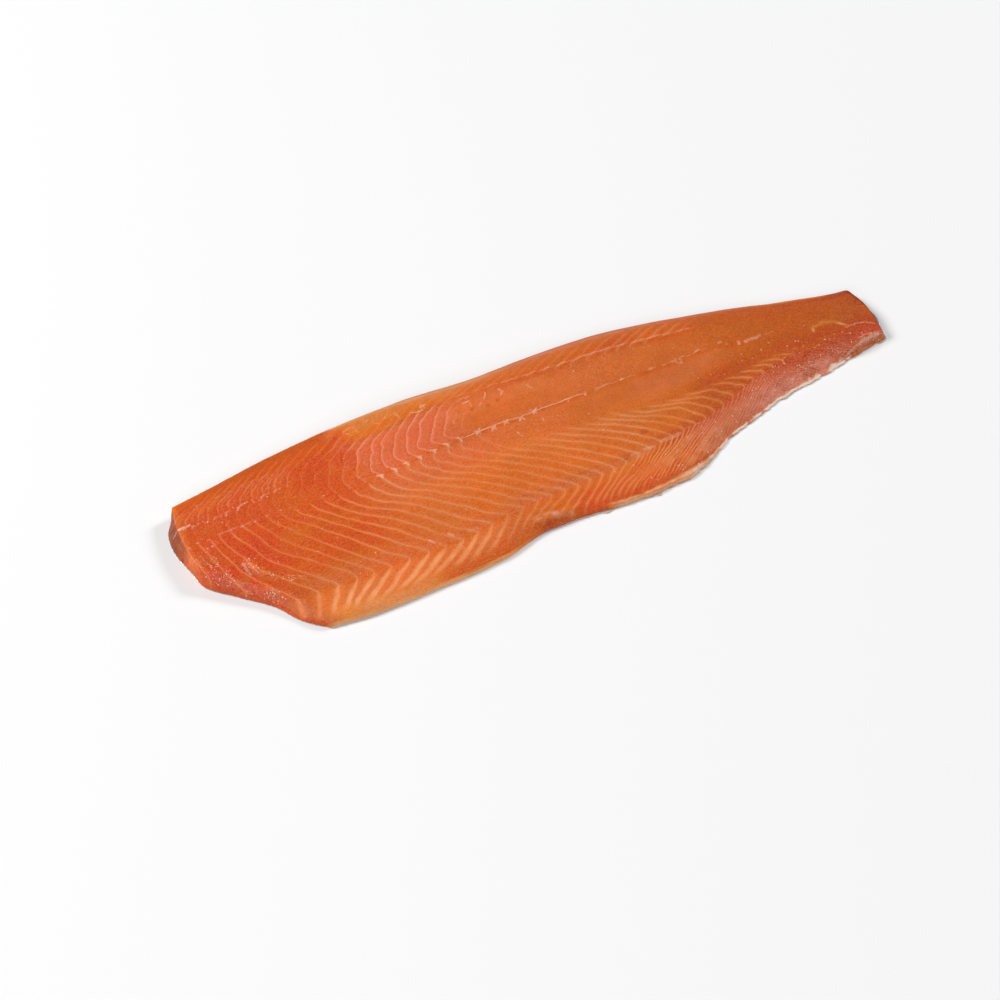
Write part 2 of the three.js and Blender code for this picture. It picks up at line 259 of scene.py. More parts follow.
def height_share(x, y):
    """Where y lies between the belly edge (-2), hinge (-1), seam (0), dorsal line (1) and back edge (2)."""
    e, h, c, d, b = belly_y(x), hinge_y(x), seam_y(x), dorsal_y(x), back_y(x)
    return np.where(y >= d, 1 + (y - d) / np.maximum(b - d, 3), np.where(y >= c, (y - c) / (d - c), np.where(y >= h, (y - c) / (c - h), -1 - (h - y) / np.maximum(h - e, 3))))


def line_number(x, y):
    w = np.clip(height_share(x, y), -2, 2)
    a = (w - WS[0]) / (WS[1] - WS[0])
    b = np.clip(x - XS[0], 0, len(XS) - 1.001)
    i, j = np.clip(np.floor(a).astype(int), 0, len(WS) - 2), np.floor(b).astype(int)
    fa, fb = a - i, b - j
    return (FIELD[i, j] * (1 - fb) + FIELD[i, j + 1] * fb) * (1 - fa) + (FIELD[i + 1, j] * (1 - fb) + FIELD[i + 1, j + 1] * fb) * fa


# ------------------------------------------------------------------ grid over the flesh
ALONG, ACROSS = ((520, 134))
RINGS = 14


def spread(t):
    return t - 0.3 * np.sin(2 * np.pi * t) / (2 * np.pi)


def dentil(s, seed):
    """Uneven edge, 0 to 1, with s in mm along it."""
    a = 0.5 + 0.5 * noise(s, 0 * s, 7.0, seed)
    b = 0.5 + 0.5 * noise(s, 0 * s, 2.6, seed + 5)
    return 0.6 * a + 0.4 * b


ii, jj = np.meshgrid(np.arange(ALONG + 1), np.arange(ACROSS + 1), indexing="ij")
V = spread(jj / ACROSS)
GX = mix(head_x(V), tail_x(V), ii / ALONG)
GY = mix(belly_y(GX), back_y(GX), V)
GZ, UNCUT = top_height(GX, V)
# towards the tail the belly edge thins out to almost nothing, and at the very end it is cut off slanting
inward = GY - belly_y(GX)
edge = top_height(GX, 0 * V)[0]
GZ = GZ - np.maximum(edge - 1.7, 0) * band(76, 115, 226, 244, GX) * (1 - smooth(0, 15, inward)) ** 1.3
GZ = GZ - 4.2 * np.clip(1 - inward / 2.8, 0, 1) ** 0.8 * smooth(224, 246, GX)
# the cut flesh rounds over at the lower corner of the head end
GZ = GZ - 3.4 * np.exp(-(((GX - head_x(V)) / 5.5) ** 1.5)) * (1 - smooth(0.42, 0.56, V)) * smooth(0.0, 0.12, V)


def fields(x, y):
    """Line number, its slope, height share and the distances from the curves along the side, at points x, y."""
    f = {}
    k = line_number(x, y)
    dk = np.hypot(line_number(x + 0.5, y) - line_number(x - 0.5, y), line_number(x, y + 0.5) - line_number(x, y - 0.5))
    w = height_share(x, y)
    head = 1 - smooth(-185, -160, x)
    cut_back = band(0.02, 0.1, 0.85, 1.0, w) * (1 - smooth(-70, -50, x))
    wob = (0.7 + 0.7 * head) * fbm(x, y, 15.0, 3, 2) + (0.25 + 0.35 * cut_back) * noise(x, y, 2.8, 4)
    f["k"] = k + wob * dk
    f["per_mm"] = np.clip(dk, 0.03, 0.6)
    f["w"] = w
    f["seam"] = y - seam_y(x) + 0.35 * noise(x, 0 * x, 5.0, 6)
    f["dorsal"] = y - dorsal_y(x) + 0.5 * noise(x, 0 * x, 9.0, 7)
    f["hinge"] = y - hinge_y(x)
    return f


def near_path(x, y, path):
    """Distance in mm from a line through a few points."""
    best = np.full(np.shape(x), 1e9)
    for (ax, ay), (bx, by) in zip(path[:-1], path[1:]):
        ux, uy = bx - ax, by - ay
        t = np.clip(((x - ax) * ux + (y - ay) * uy) / (ux * ux + uy * uy), 0, 1)
        best = np.minimum(best, np.hypot(x - ax - t * ux, y - ay - t * uy))
    return best


TAIL_CREASE = [(218.5, 11), (219.5, 14), (224, 14.3), (229, 15.5), (234, 14), (237.5, 12.5), (239.5, 10.5), (243.5, 7)]
TAIL_CREASE_2 = [(243, 4.5), (252, 4.8), (257, 4), (260.5, 3), (263.5, 1), (266, -0.5)]
TAIL_BEVEL = [(224, -17.5), (231, -15.2), (238, -13.1), (248, -10.7), (257, -9.0), (266, -8.0)]
HEAD_FOLD = [(-237, -9), (-234, -14), (-230.5, -20), (-225.5, -25.5), (-217, -31), (-206, -36)]
CLEFT = (-144, 60.5)
SEAM_KNOTS = [(-129, 14.5), (-118.5, 15), (-109, 16), (-99, 16.5), (-88, 17), (-77.5, 18), (-67, 19)]
SEAM_STARS = [(-53.5, 19.5), (-42, 18.3), (-31.5, 19.5), (-20, 18.8), (-9, 20.4)]
PIN_DOTS = [(-268, 17.5), (-261, 19), (-253.5, 18.5), (-246, 19.5), (-237.5, 19.5), (-229.5, 19), (-220.5, 19), (-211.5, 20), (-201, 20), (-253, 12.5)]
# short pale bits of fat, film and bone channel: half width mm, how pale, then the points along it
STROKES = [(0.55, 0.54, (39.6, 20.9), (45, 21.9), (50.7, 22.5)), (0.7, 0.68, (61, 22.3), (64, 22.7)), (0.6, 0.50, (85, 23.2), (88, 23.5)), (0.55, 0.43, (96.5, 23.2), (99.5, 23.5)), (0.8, 0.43, (104.5, 24), (106, 24)),
           (0.6, 0.43, (108, 25.5), (107.6, 22.6), (108.8, 20.6), (110.6, 20.4), (111.6, 22.4), (111.2, 24.8)), (0.6, 0.47, (113, 25.3), (115.4, 25.8)), (0.75, 0.61, (126, 26.4), (129, 26.7)), (0.5, 0.36, (131, 25.4), (133, 25.6)),
           (0.55, 0.50, (144.6, 26.8), (148.2, 27.3)), (0.5, 0.29, (139.5, 22.4), (141, 22.6)), (1.0, 0.58, (160, 20.9), (160.5, 22.8)), (1.15, 0.54, (165, 21), (170, 21.7), (176, 21.3)), (0.6, 0.36, (177.5, 22), (179, 22)), (0.35, 0.32, (183, 21.3), (190, 21.7)),
           (0.55, 0.8, (31, 19.6), (32.4, 21.6)), (0.6, 0.7, (17, 19.1), (18.3, 20.4)),
           # along the line below the back
           (0.5, 0.37, (0.5, 51.5), (7, 53.5)), (0.55, 0.40, (12, 51.5), (19, 53.5)), (0.6, 0.43, (25, 52), (32, 53)), (0.6, 0.43, (37, 51.5), (45, 53)), (0.6, 0.46, (48, 52), (56, 53)), (0.6, 0.46, (60, 52), (68, 53)), (0.6, 0.43, (73, 51.7), (80, 52)),
           (0.6, 0.46, (85, 50.7), (95, 51)), (0.65, 0.50, (98, 50), (108, 50.5)), (0.55, 0.40, (111, 49), (119, 49)), (0.5, 0.37, (123, 48), (132, 48)),
           (0.3, 0.28, (34.5, 50), (34.3, 46.5)), (0.3, 0.28, (47.5, 50), (47.2, 46)), (0.3, 0.25, (58.5, 46.5), (57.5, 43.5)), (0.3, 0.25, (71, 47), (70.2, 43)), (0.3, 0.22, (84, 45.5), (83.2, 43.5)), (0.5, 0.22, (95, 43), (95.2, 42.6)),
           # bits on the smooth flesh
           (0.6, 0.9, (33, 42), (33.2, 42.1)), (0.45, 0.8, (-37.5, 44), (-35, 47), (-34, 49)), (0.5, 0.85, (-24, 48), (-22, 45), (-24.5, 42.5)), (0.4, 0.6, (-48, 44), (-48.2, 41)), (0.5, 0.8, (-53, 46), (-48, 46.5)), (0.4, 0.6, (-3.5, 44), (-3, 41), (-1, 39)),
           (0.35, 0.6, (-61, 40), (-61.4, 38)), (0.5, 0.6, (-99, 61), (-98, 58), (-97.5, 55)), (0.4, 0.6, (-120, 63), (-118, 65)), (0.4, 0.55, (-137, 61), (-134, 57.5)), (0.35, 0.5, (-129, 60), (-128, 56.5)), (0.4, 0.5, (-115, 59.5), (-112.4, 57.4)), (0.5, 0.6, (-107, 60), (-106, 60.6)), (0.4, 0.6, (-92, 53.5), (-90, 54)), (0.7, 0.85, (-80.6, 57.2), (-77.4, 57.8)), (0.35, 0.6, (-79.6, 60), (-78.4, 55.4)),
           (0.45, 0.7, (-89, 56), (-85, 54), (-80, 54.5)), (0.4, 0.85, (-28, 9), (-26, 5)), (0.45, 0.6, (-6, 13.2), (-6.2, 10.8)), (0.5, 0.5, (-14, 4.5), (-13.4, 4)), (0.5, 0.7, (26, 3.8), (26.3, 3.8)), (0.7, 0.35, (-138, 62.5), (-133, 64), (-129, 63)),
           (0.8, 0.28, (39, -36.5), (45, -36)), (1.1, 0.34, (50, -35.6), (57, -36.2)), (1.2, 0.38, (64.5, -34.2), (72, -34), (80, -33)), (0.5, 0.3, (86, -30.8), (91, -30.2)), (0.5, 0.5, (-56, 49), (-52, 51), (-46, 50.4)), (0.35, 0.5, (-44, 39), (-40, 41.5)), (0.4, 0.5, (-66, 33), (-64.6, 35)),
           # pin-bone row and streaks at the head end
           (1.0, 0.94, (-268.4, 35.0), (-265, 35.4)), (0.7, 0.9, (-265, 34.8), (-261, 35.6)), (0.5, 0.6, (-260, 34), (-258.4, 33)), (0.35, 0.5, (-256.5, 33.6), (-254.5, 34.4)), (0.4, 0.55, (-252, 34.6), (-251, 32.4)), (0.35, 0.5, (-249, 33.5), (-247.5, 35.2)), (0.45, 0.6, (-244.6, 32.4), (-242.6, 34.4)),
           (0.3, 0.5, (-241, 33.6), (-238.4, 34.6)), (0.4, 0.55, (-236.4, 32.4), (-235, 34.8), (-232.5, 35.6)), (0.45, 0.65, (-227.6, 32.4), (-225.8, 35.6), (-222.5, 36.6), (-219, 36.8)), (0.4, 0.5, (-216.4, 37.2), (-214.4, 36.4)), (0.5, 0.6, (-209.6, 35.8), (-206.8, 37.4)), (0.35, 0.5, (-205.4, 36.6), (-203, 37.6)), (0.45, 0.55, (-200, 36.6), (-197.6, 38)), (0.35, 0.45, (-195.6, 37.2), (-193, 38.2)),
           (0.3, 0.3, (-252, 49.4), (-247, 49.8)), (0.3, 0.32, (-240, 50), (-234, 50.6)), (0.3, 0.34, (-229, 51.2), (-226, 51.5)), (0.3, 0.34, (-219.6, 51.8), (-216.5, 52)), (0.3, 0.3, (-211, 52.2), (-208.8, 52.6)), (0.3, 0.3, (-203, 52.8), (-199, 53)),
           (0.75, 0.6, (-239.6, -9.5), (-239, -14), (-237.6, -19.5)), (0.3, 0.4, (-263.5, 12), (-262, 4), (-259, -4)), (0.3, 0.35, (-257, 14), (-255.5, 8)),
           (0.3, 0.45, (-246, 19.6), (-234, 19.5), (-221, 19.1)),
           # tail
           (0.6, 0.5, (218.3, 10.6), (219.0, 12.4)), (0.5, 0.5, (239.8, 10.3), (243.5, 7)), (0.45, 0.55, (243, 4.5), (252, 4.8), (257, 4), (260.5, 3), (263.5, 1), (266, -0.5)), (0.6, 0.5, (256, -7.6), (259, -8.4)),
           # the first two strokes on the next line, along the bevel ridge, are painted highlight
           (0.35, 0.5, (226, -16.9), (231, -15.2), (238, -13.1), (246, -11.2)), (0.5, 0.85, (245, -11.4), (248, -10.7), (257, -9.0), (265, -8.1)), (0.3, 0.6, (247, -7.6), (253, -6.4), (259, -6.6)), (0.3, 0.3, (243.4, 7.3), (247, 5.4)),
           # film at the turns of the belly stripes
           (0.75, 0.5, (-119.8, -45.4), (-117.2, -48.2)), (0.75, 0.5, (-106.2, -45), (-103.4, -48)), (0.45, 0.4, (-93, -47.5), (-90.6, -49.4)), (0.4, 0.35, (-87, -48), (-84, -50.5)), (0.25, 0.3, (-101.8, -52), (-100.2, -60))]
# painted glints: tiny pale dots laid into the colour where the wet surface catches the light
SPARKLES = [(181, 13.5), (162.5, 6), (156.5, 12), (113.5, 9.5), (102, 6), (115.5, 4), (126, 4), (172.5, 10), (192.5, 6), (200.5, 7.5), (202.5, 6.8), (221.7, 0.8), (222.3, 0.6), (225.7, -0.5), (231.4, 2.2), (238, 1.5), (243.5, -1.2), (182.5, -7), (98, -21.5), (97, -30), (83.5, -38), (96, -38.5), (62, -45), (36.5, -44.5), (22, -44.5), (44, -22), (48, -22)]
STROKES += [(0.6, 0.94, (kx - 2.4, ky + 1.4), (kx + 0.2, ky + 0.2), (kx + 0.1, ky - 2.2)) for kx, ky in SEAM_KNOTS] + [(1.0, 0.94, (kx - 0.6, ky + 0.4), (kx + 0.1, ky)) for kx, ky in SEAM_KNOTS] + [(0.4, 0.8, (kx, ky), (kx + 2.0, ky + 0.6)) for kx, ky in SEAM_KNOTS]
STROKES += [(0.55, 0.92, (kx - 1.9, ky - 1.8), (kx, ky + 0.2), (kx + 2.3, ky + 1.7)) for kx, ky in SEAM_STARS] + [(0.5, 0.85, (kx - 2, ky + 1.5), (kx, ky + 0.2), (kx + 1.5, ky - 1.9)) for kx, ky in SEAM_STARS]
STROKES += [(0.9, 0.92, (kx - 0.4, ky + 0.2), (kx + 0.6, ky + 0.3)) for kx, ky in SEAM_STARS[:3]]
STROKES += [(0.55, 0.85, (kx - 0.3, ky), (kx + 0.5, ky - 0.4)) for kx, ky in PIN_DOTS]
# the painted glints go in as the palest marks
STROKES += [(0.3, 1.0, (kx, ky), (kx + 0.2, ky)) for kx, ky in SPARKLES]


def marks_at(x, y):
    """Signed distance in mm from the edge of the nearest pale bit (negative inside), and how pale it is."""
    near, pale = np.full(np.shape(x), 9.0), np.zeros(np.shape(x))
    for half, how, *path in STROKES:
        lo_x, hi_x = min(a for a, b in path) - 6, max(a for a, b in path) + 6
        lo_y, hi_y = min(b for a, b in path) - 6, max(b for a, b in path) + 6
        q = np.nonzero((x > lo_x) & (x < hi_x) & (y > lo_y) & (y < hi_y))[0]
        if len(q):
            d = near_path(x[q], y[q], path) - half
            closer = d < near[q]
            near[q[closer]], pale[q[closer]] = d[closer], how
    return near, pale


def line_strength(x, y, w):
    """How clearly the lines show, 0 to 1."""
    head = 1 - smooth(-190, -160, x)
    fade_smooth = smooth(-30, -72, x) + (1 - smooth(-30, -72, x)) * smooth(4, -7, y)
    top_y = np.interp(x, [40, 60, 90, 111, 127, 141, 154, 165, 205], [-3, -5.5, -6.2, -5, -4, -2.6, -1.6, 0.6, 2.3])
    fade_smooth = mix(fade_smooth, smooth(top_y + 1.8, top_y - 1.6, y), smooth(30, 62, x))
    v = band(-1.05, -1.0, -0.05, -0.0, w) * fade_smooth * (1 - smooth(176, 206, x)) * mix(1, 0.75, head)
    v = v * (1 - 0.55 * band(-0.3, -0.2, -0.02, 0, w) * (1 - smooth(-100, -80, x)) * (1 - head) * 0)
    d = band(0.0, 0.06, 0.93, 1.05, w) * (1 - smooth(-72, -50, x)) * mix(1, 0.6, head * (1 - smooth(0.5, 0.62, w)))
    tick = band(0.78, 0.9, 1.0, 1.1, w) * band(18, 26, 92, 102, x) * 0.55
    o = smooth(0.9, 1.02, w) * (1 - smooth(1.35, 1.7, w)) * (1 - smooth(112, 150, x)) * mix(0.62, 0.5, head)
    b = smooth(-0.97, -1.05, w) * (1 - smooth(150, 190, x)) * (1 - 0.9 * smooth(-1.6, -1.86, w) * (1 - smooth(-70, -30, x))) * (1 - 0.75 * smooth(-1.75, -1.92, w))
    return np.clip(np.maximum.reduce([v, d, tick, o, b]), 0, 1)


def relief(x, y, v, w, k, per_mm):
    """Height added to the smooth surface, mm."""
    fr = np.abs(k - np.round(k))
    st = line_strength(x, y, w)
    flake = np.cos(np.pi * fr) ** 6                     # 1 on the line
    r = -0.16 * st * flake * np.clip(0.12 / per_mm, 0.3, 1.3)
    r = r + 0.30 * fbm(x, y, 46, 11, 3, 1.6) * smooth(0, 0.06, v) * smooth(1, 0.94, v)
    r = r + 0.07 * fbm(x, y, 5, 17, 2, 1.8)
    d = y - seam_y(x)
    r = r - 0.22 * np.exp(-(((d + 0.6) / 1.1) ** 2)) * band(-75, -60, 120, 170, x)
    h = y - hinge_y(x)
    r = r - 0.25 * np.exp(-((h / 5.0) ** 2)) * band(-200, -160, 120, 170, x)
    r = r - 0.14 * np.exp(-(((y - dorsal_y(x) + 0.8) / 1.4) ** 2)) * band(-30, 0, 110, 150, x)
    # carved flesh at the head end is a little torn, and the belly film near the tail is grainy
    raw = (1 - smooth(-175, -155, x + 0.1 * y)) * (1 - smooth(-36, -46, y))
    r = r + raw * (0.10 * noise(x, y, 3.1, 15, 0.8) + 0.16 * noise(x, y, 7.5, 16))
    near, pale = marks_at(np.ravel(x), np.ravel(y))
    r = r + 0.22 * (pale * smooth(1.2, -0.4, near)).reshape(np.shape(x))
    # the fold across the cut flesh at the head end
    p = near_path(x, y, HEAD_FOLD)
    r = r + 0.6 * np.exp(-((p / 1.6) ** 2)) * (0.7 + 0.3 * noise(x, y, 3, 71)) - 0.5 * bump(x, y, -238, -19, 4, 9, 35)
    # notch where the carving knife went in
    r = r - 1.3 * bump(x, y, CLEFT[0], CLEFT[1], 6.5, 2.6, 24) + 0.5 * bump(x, y, CLEFT[0] - 3, CLEFT[1] + 4.5, 7, 1.8, 24)
    # thick fold of belly flesh at the notch in the edge
    r = r + 1.3 * bump(x, y, -31, -58.8, 14, 3.0, -3) + 0.8 * bump(x, y, -17, -58.8, 3, 2, 20) - 0.7 * bump(x, y, -31, -54.6, 17, 1.6, -3)
    # creases near the tail
    c1, c2 = near_path(x, y, TAIL_CREASE), near_path(x, y, TAIL_CREASE_2)
    r = r + 0.16 * np.exp(-((c1 / 1.9) ** 2)) + 0.25 * np.exp(-((c2 / 1.0) ** 2))
    c3 = near_path(x, y, TAIL_BEVEL)
    r = r - 0.45 * bump(x, y, 250, -3.2, 17, 3.0, -8) + 0.35 * np.exp(-((c3 / 1.1) ** 2))
    # bone scars past the hinge, worn grainy belly
    grit = smooth(-0.75, -1.1, w) * smooth(95, 160, x)
    r = r + 0.10 * grit * noise(x, y, 1.9, 19)
    return r


HEAD_OF = head_x(V)
F = fields(GX, GY)
GZ = GZ + relief(GX, GY, V, F["w"], F["k"], F["per_mm"])
TX = GX.copy()
# the belly edge is worn uneven from the notch to the tail, and the rest wavers a little
worn = band(-8, 12, 262, 268, GX)
TY = GY - (1 - smooth(0, 0.055, V)) * (worn * (0.9 * fbm(GX, 0 * GX, 9, 31, 2) + 0.55 * noise(GX, 0 * GX, 2.6, 33)) + 0.35 * (1 - worn) * noise(GX, 0 * GX, 14, 34))
TY = TY + (1 - smooth(0, 0.16, V)) * np.interp(GX, [72, 90, 116, 142, 168, 200, 250, 266], [0, 1.2, 3.2, 2.2, 2.8, 1.7, 1.5, 1.8])
TY = TY + smooth(0.96, 1.0, V) * 0.35 * noise(GX, 0 * GX, 17, 35)

# ------------------------------------------------------------------ rim, sides
rim = [(i, 0) for i in range(ALONG)] + [(ALONG, j) for j in range(ACROSS)] + [(i, ACROSS) for i in range(ALONG, 0, -1)] + [(0, j) for j in range(ACROSS, 0, -1)]
ri, rj = np.array([a for a, b in rim]), np.array([b for a, b in rim])
RX, RY, RZ, RV = TX[ri, rj], TY[ri, rj], GZ[ri, rj], V[ri, rj]
n_rim = len(rim)
on_belly, on_back = rj == 0, rj == ACROSS
on_tail, on_head = (ri == ALONG) & ~on_back, (ri == 0) & ~on_belly
on_belly = on_belly & ~on_tail
on_back = on_back & ~on_head
out = np.zeros((n_rim, 5))
out[on_belly] = BELLY_OUT
out[on_back] = BACK_OUT
out[on_tail] = np.array(TAIL_OUT) * through(TAIL_OUT_SHARE)(RV[on_tail])[:, None]
out[on_head] = np.array(HEAD_OUT) * through(HEAD_OUT_SHARE)(RV[on_head])[:, None]
seg = np.hypot(np.roll(RX, -1) - RX, np.roll(RY, -1) - RY)
arc = np.concatenate([[0], np.cumsum(seg)[:-1]])
total_arc = seg.sum()


def along_rim(values, window, power=1):
    """Average of values along the closed rim with a cosine window, by arc length."""
    order = np.concatenate([arc - total_arc, arc, arc + total_arc])
    vals = np.concatenate([values] * 3)
    wts = np.concatenate([seg] * 3)
    res = np.zeros_like(values, float)
    for q in range(n_rim):
        a = arc[q]
        lo, hi = np.searchsorted(order, a - window), np.searchsorted(order, a + window)
        d = np.abs(order[lo:hi] - a)
        wt = (1 + np.cos(np.pi * d / window)) * wts[lo:hi]
        res[q] = (vals[lo:hi] * (wt[:, None] if values.ndim > 1 else wt)).sum(0) / wt.sum()
    return res


outs = along_rim(out, CORNER_BLEND)
tx, ty = (np.roll(RX, -1) - np.roll(RX, 1)), (np.roll(RY, -1) - np.roll(RY, 1))
tl = np.hypot(tx, ty)
nrm = along_rim(np.stack([ty / tl, -tx / tl], 1), 5.0)
nrm /= np.hypot(nrm[:, 0], nrm[:, 1])[:, None]

SKIN_TOP = 0.5
levels = np.linspace(1, 0, RINGS + 1)[1:]
verts = [np.stack([TX.ravel(), TY.ravel(), GZ.ravel()], 1)]
side_down = [np.zeros(TX.size)]
rim_of = [np.full(TX.size, -1)]
for lv in levels:
    o = np.array([np.interp(1 - lv, [1 - q for q in LEVELS], row) for row in outs])
    z = SKIN_TOP * 0.8 + (RZ - SKIN_TOP * 0.8) * lv
    rough = 0.25 * noise(arc, z * 1.3, 3.0, 41) + 0.15 * noise(arc, z * 1.3, 1.4, 42)
    o = o + rough * math.sin(math.pi * min(1, (1 - lv) * 1.2)) + 0.35 * math.sin(math.pi * (1 - lv)) ** 0.5 * (lv > 0.01)
    verts.append(np.stack([RX + nrm[:, 0] * o, RY + nrm[:, 1] * o, z], 1))
    side_down.append(np.full(n_rim, 1 - lv))
    rim_of.append(np.arange(n_rim))
FOOT = verts[-1]
P = np.concatenate(verts)
DOWNW = np.concatenate(side_down)
RIMI = np.concatenate(rim_of)

quads = []
at = np.arange(TX.size).reshape(TX.shape)
quads.append(np.stack([at[:-1, :-1], at[1:, :-1], at[1:, 1:], at[:-1, 1:]], -1).reshape(-1, 4))
upper = at[ri, rj]
for l in range(RINGS):
    ring = TX.size + l * n_rim + np.arange(n_rim)
    quads.append(np.stack([upper, ring, np.roll(ring, -1), np.roll(upper, -1)], -1))
    upper = ring
Q = np.concatenate(quads)

# ------------------------------------------------------------------ looks carried on the points
is_side = RIMI >= 0
# a point on the side shows the pattern of the rim above it
qx, qy = P[:, 0].copy(), P[:, 1].copy()
qx[is_side], qy[is_side] = RX[RIMI[is_side]], RY[RIMI[is_side]]
vv = np.concatenate([V.ravel()] + [RV] * RINGS)
FF = fields(qx, qy)
w = FF["w"]


def on_face(which):
    """1 on the points of one side face, blended a little round the corners."""
    m = np.zeros(len(qx))
    m[is_side] = along_rim(which.astype(float), 3.0)[RIMI[is_side]]
    return m


head_face, tail_face, back_face, belly_face = (on_face(m) for m in (on_head, on_tail, on_back, on_belly))
from_head = qx - head_x(vv)             # mm in from the head end, along x
from_tail = tail_x(vv) - qx
from_belly = qy - belly_y(qx)
from_back = back_y(qx) - qy
blend = mix(5, 27, smooth(42, 16, qy))
cut = 1 - smooth(-blend, blend, qx + STEP_LEAN * qy - STEP_X + 3 * noise(qx, qy, 8, 51))
cut = cut * (1 - smooth(-30, -44, qy) * smooth(-215, -195, qx))
head = 1 - smooth(-190, -165, qx)

# colours are given as seen, 0 to 255, then corrected for what the light and the moist sheen add
SHEEN, SCALE = np.array((0.018, 0.009, 0.021)), np.array((1.0, 1.07, 1.05))


def lay(base, colour, mask):
    return base * (1 - mask[:, None]) + np.array(colour, float) * mask[:, None]


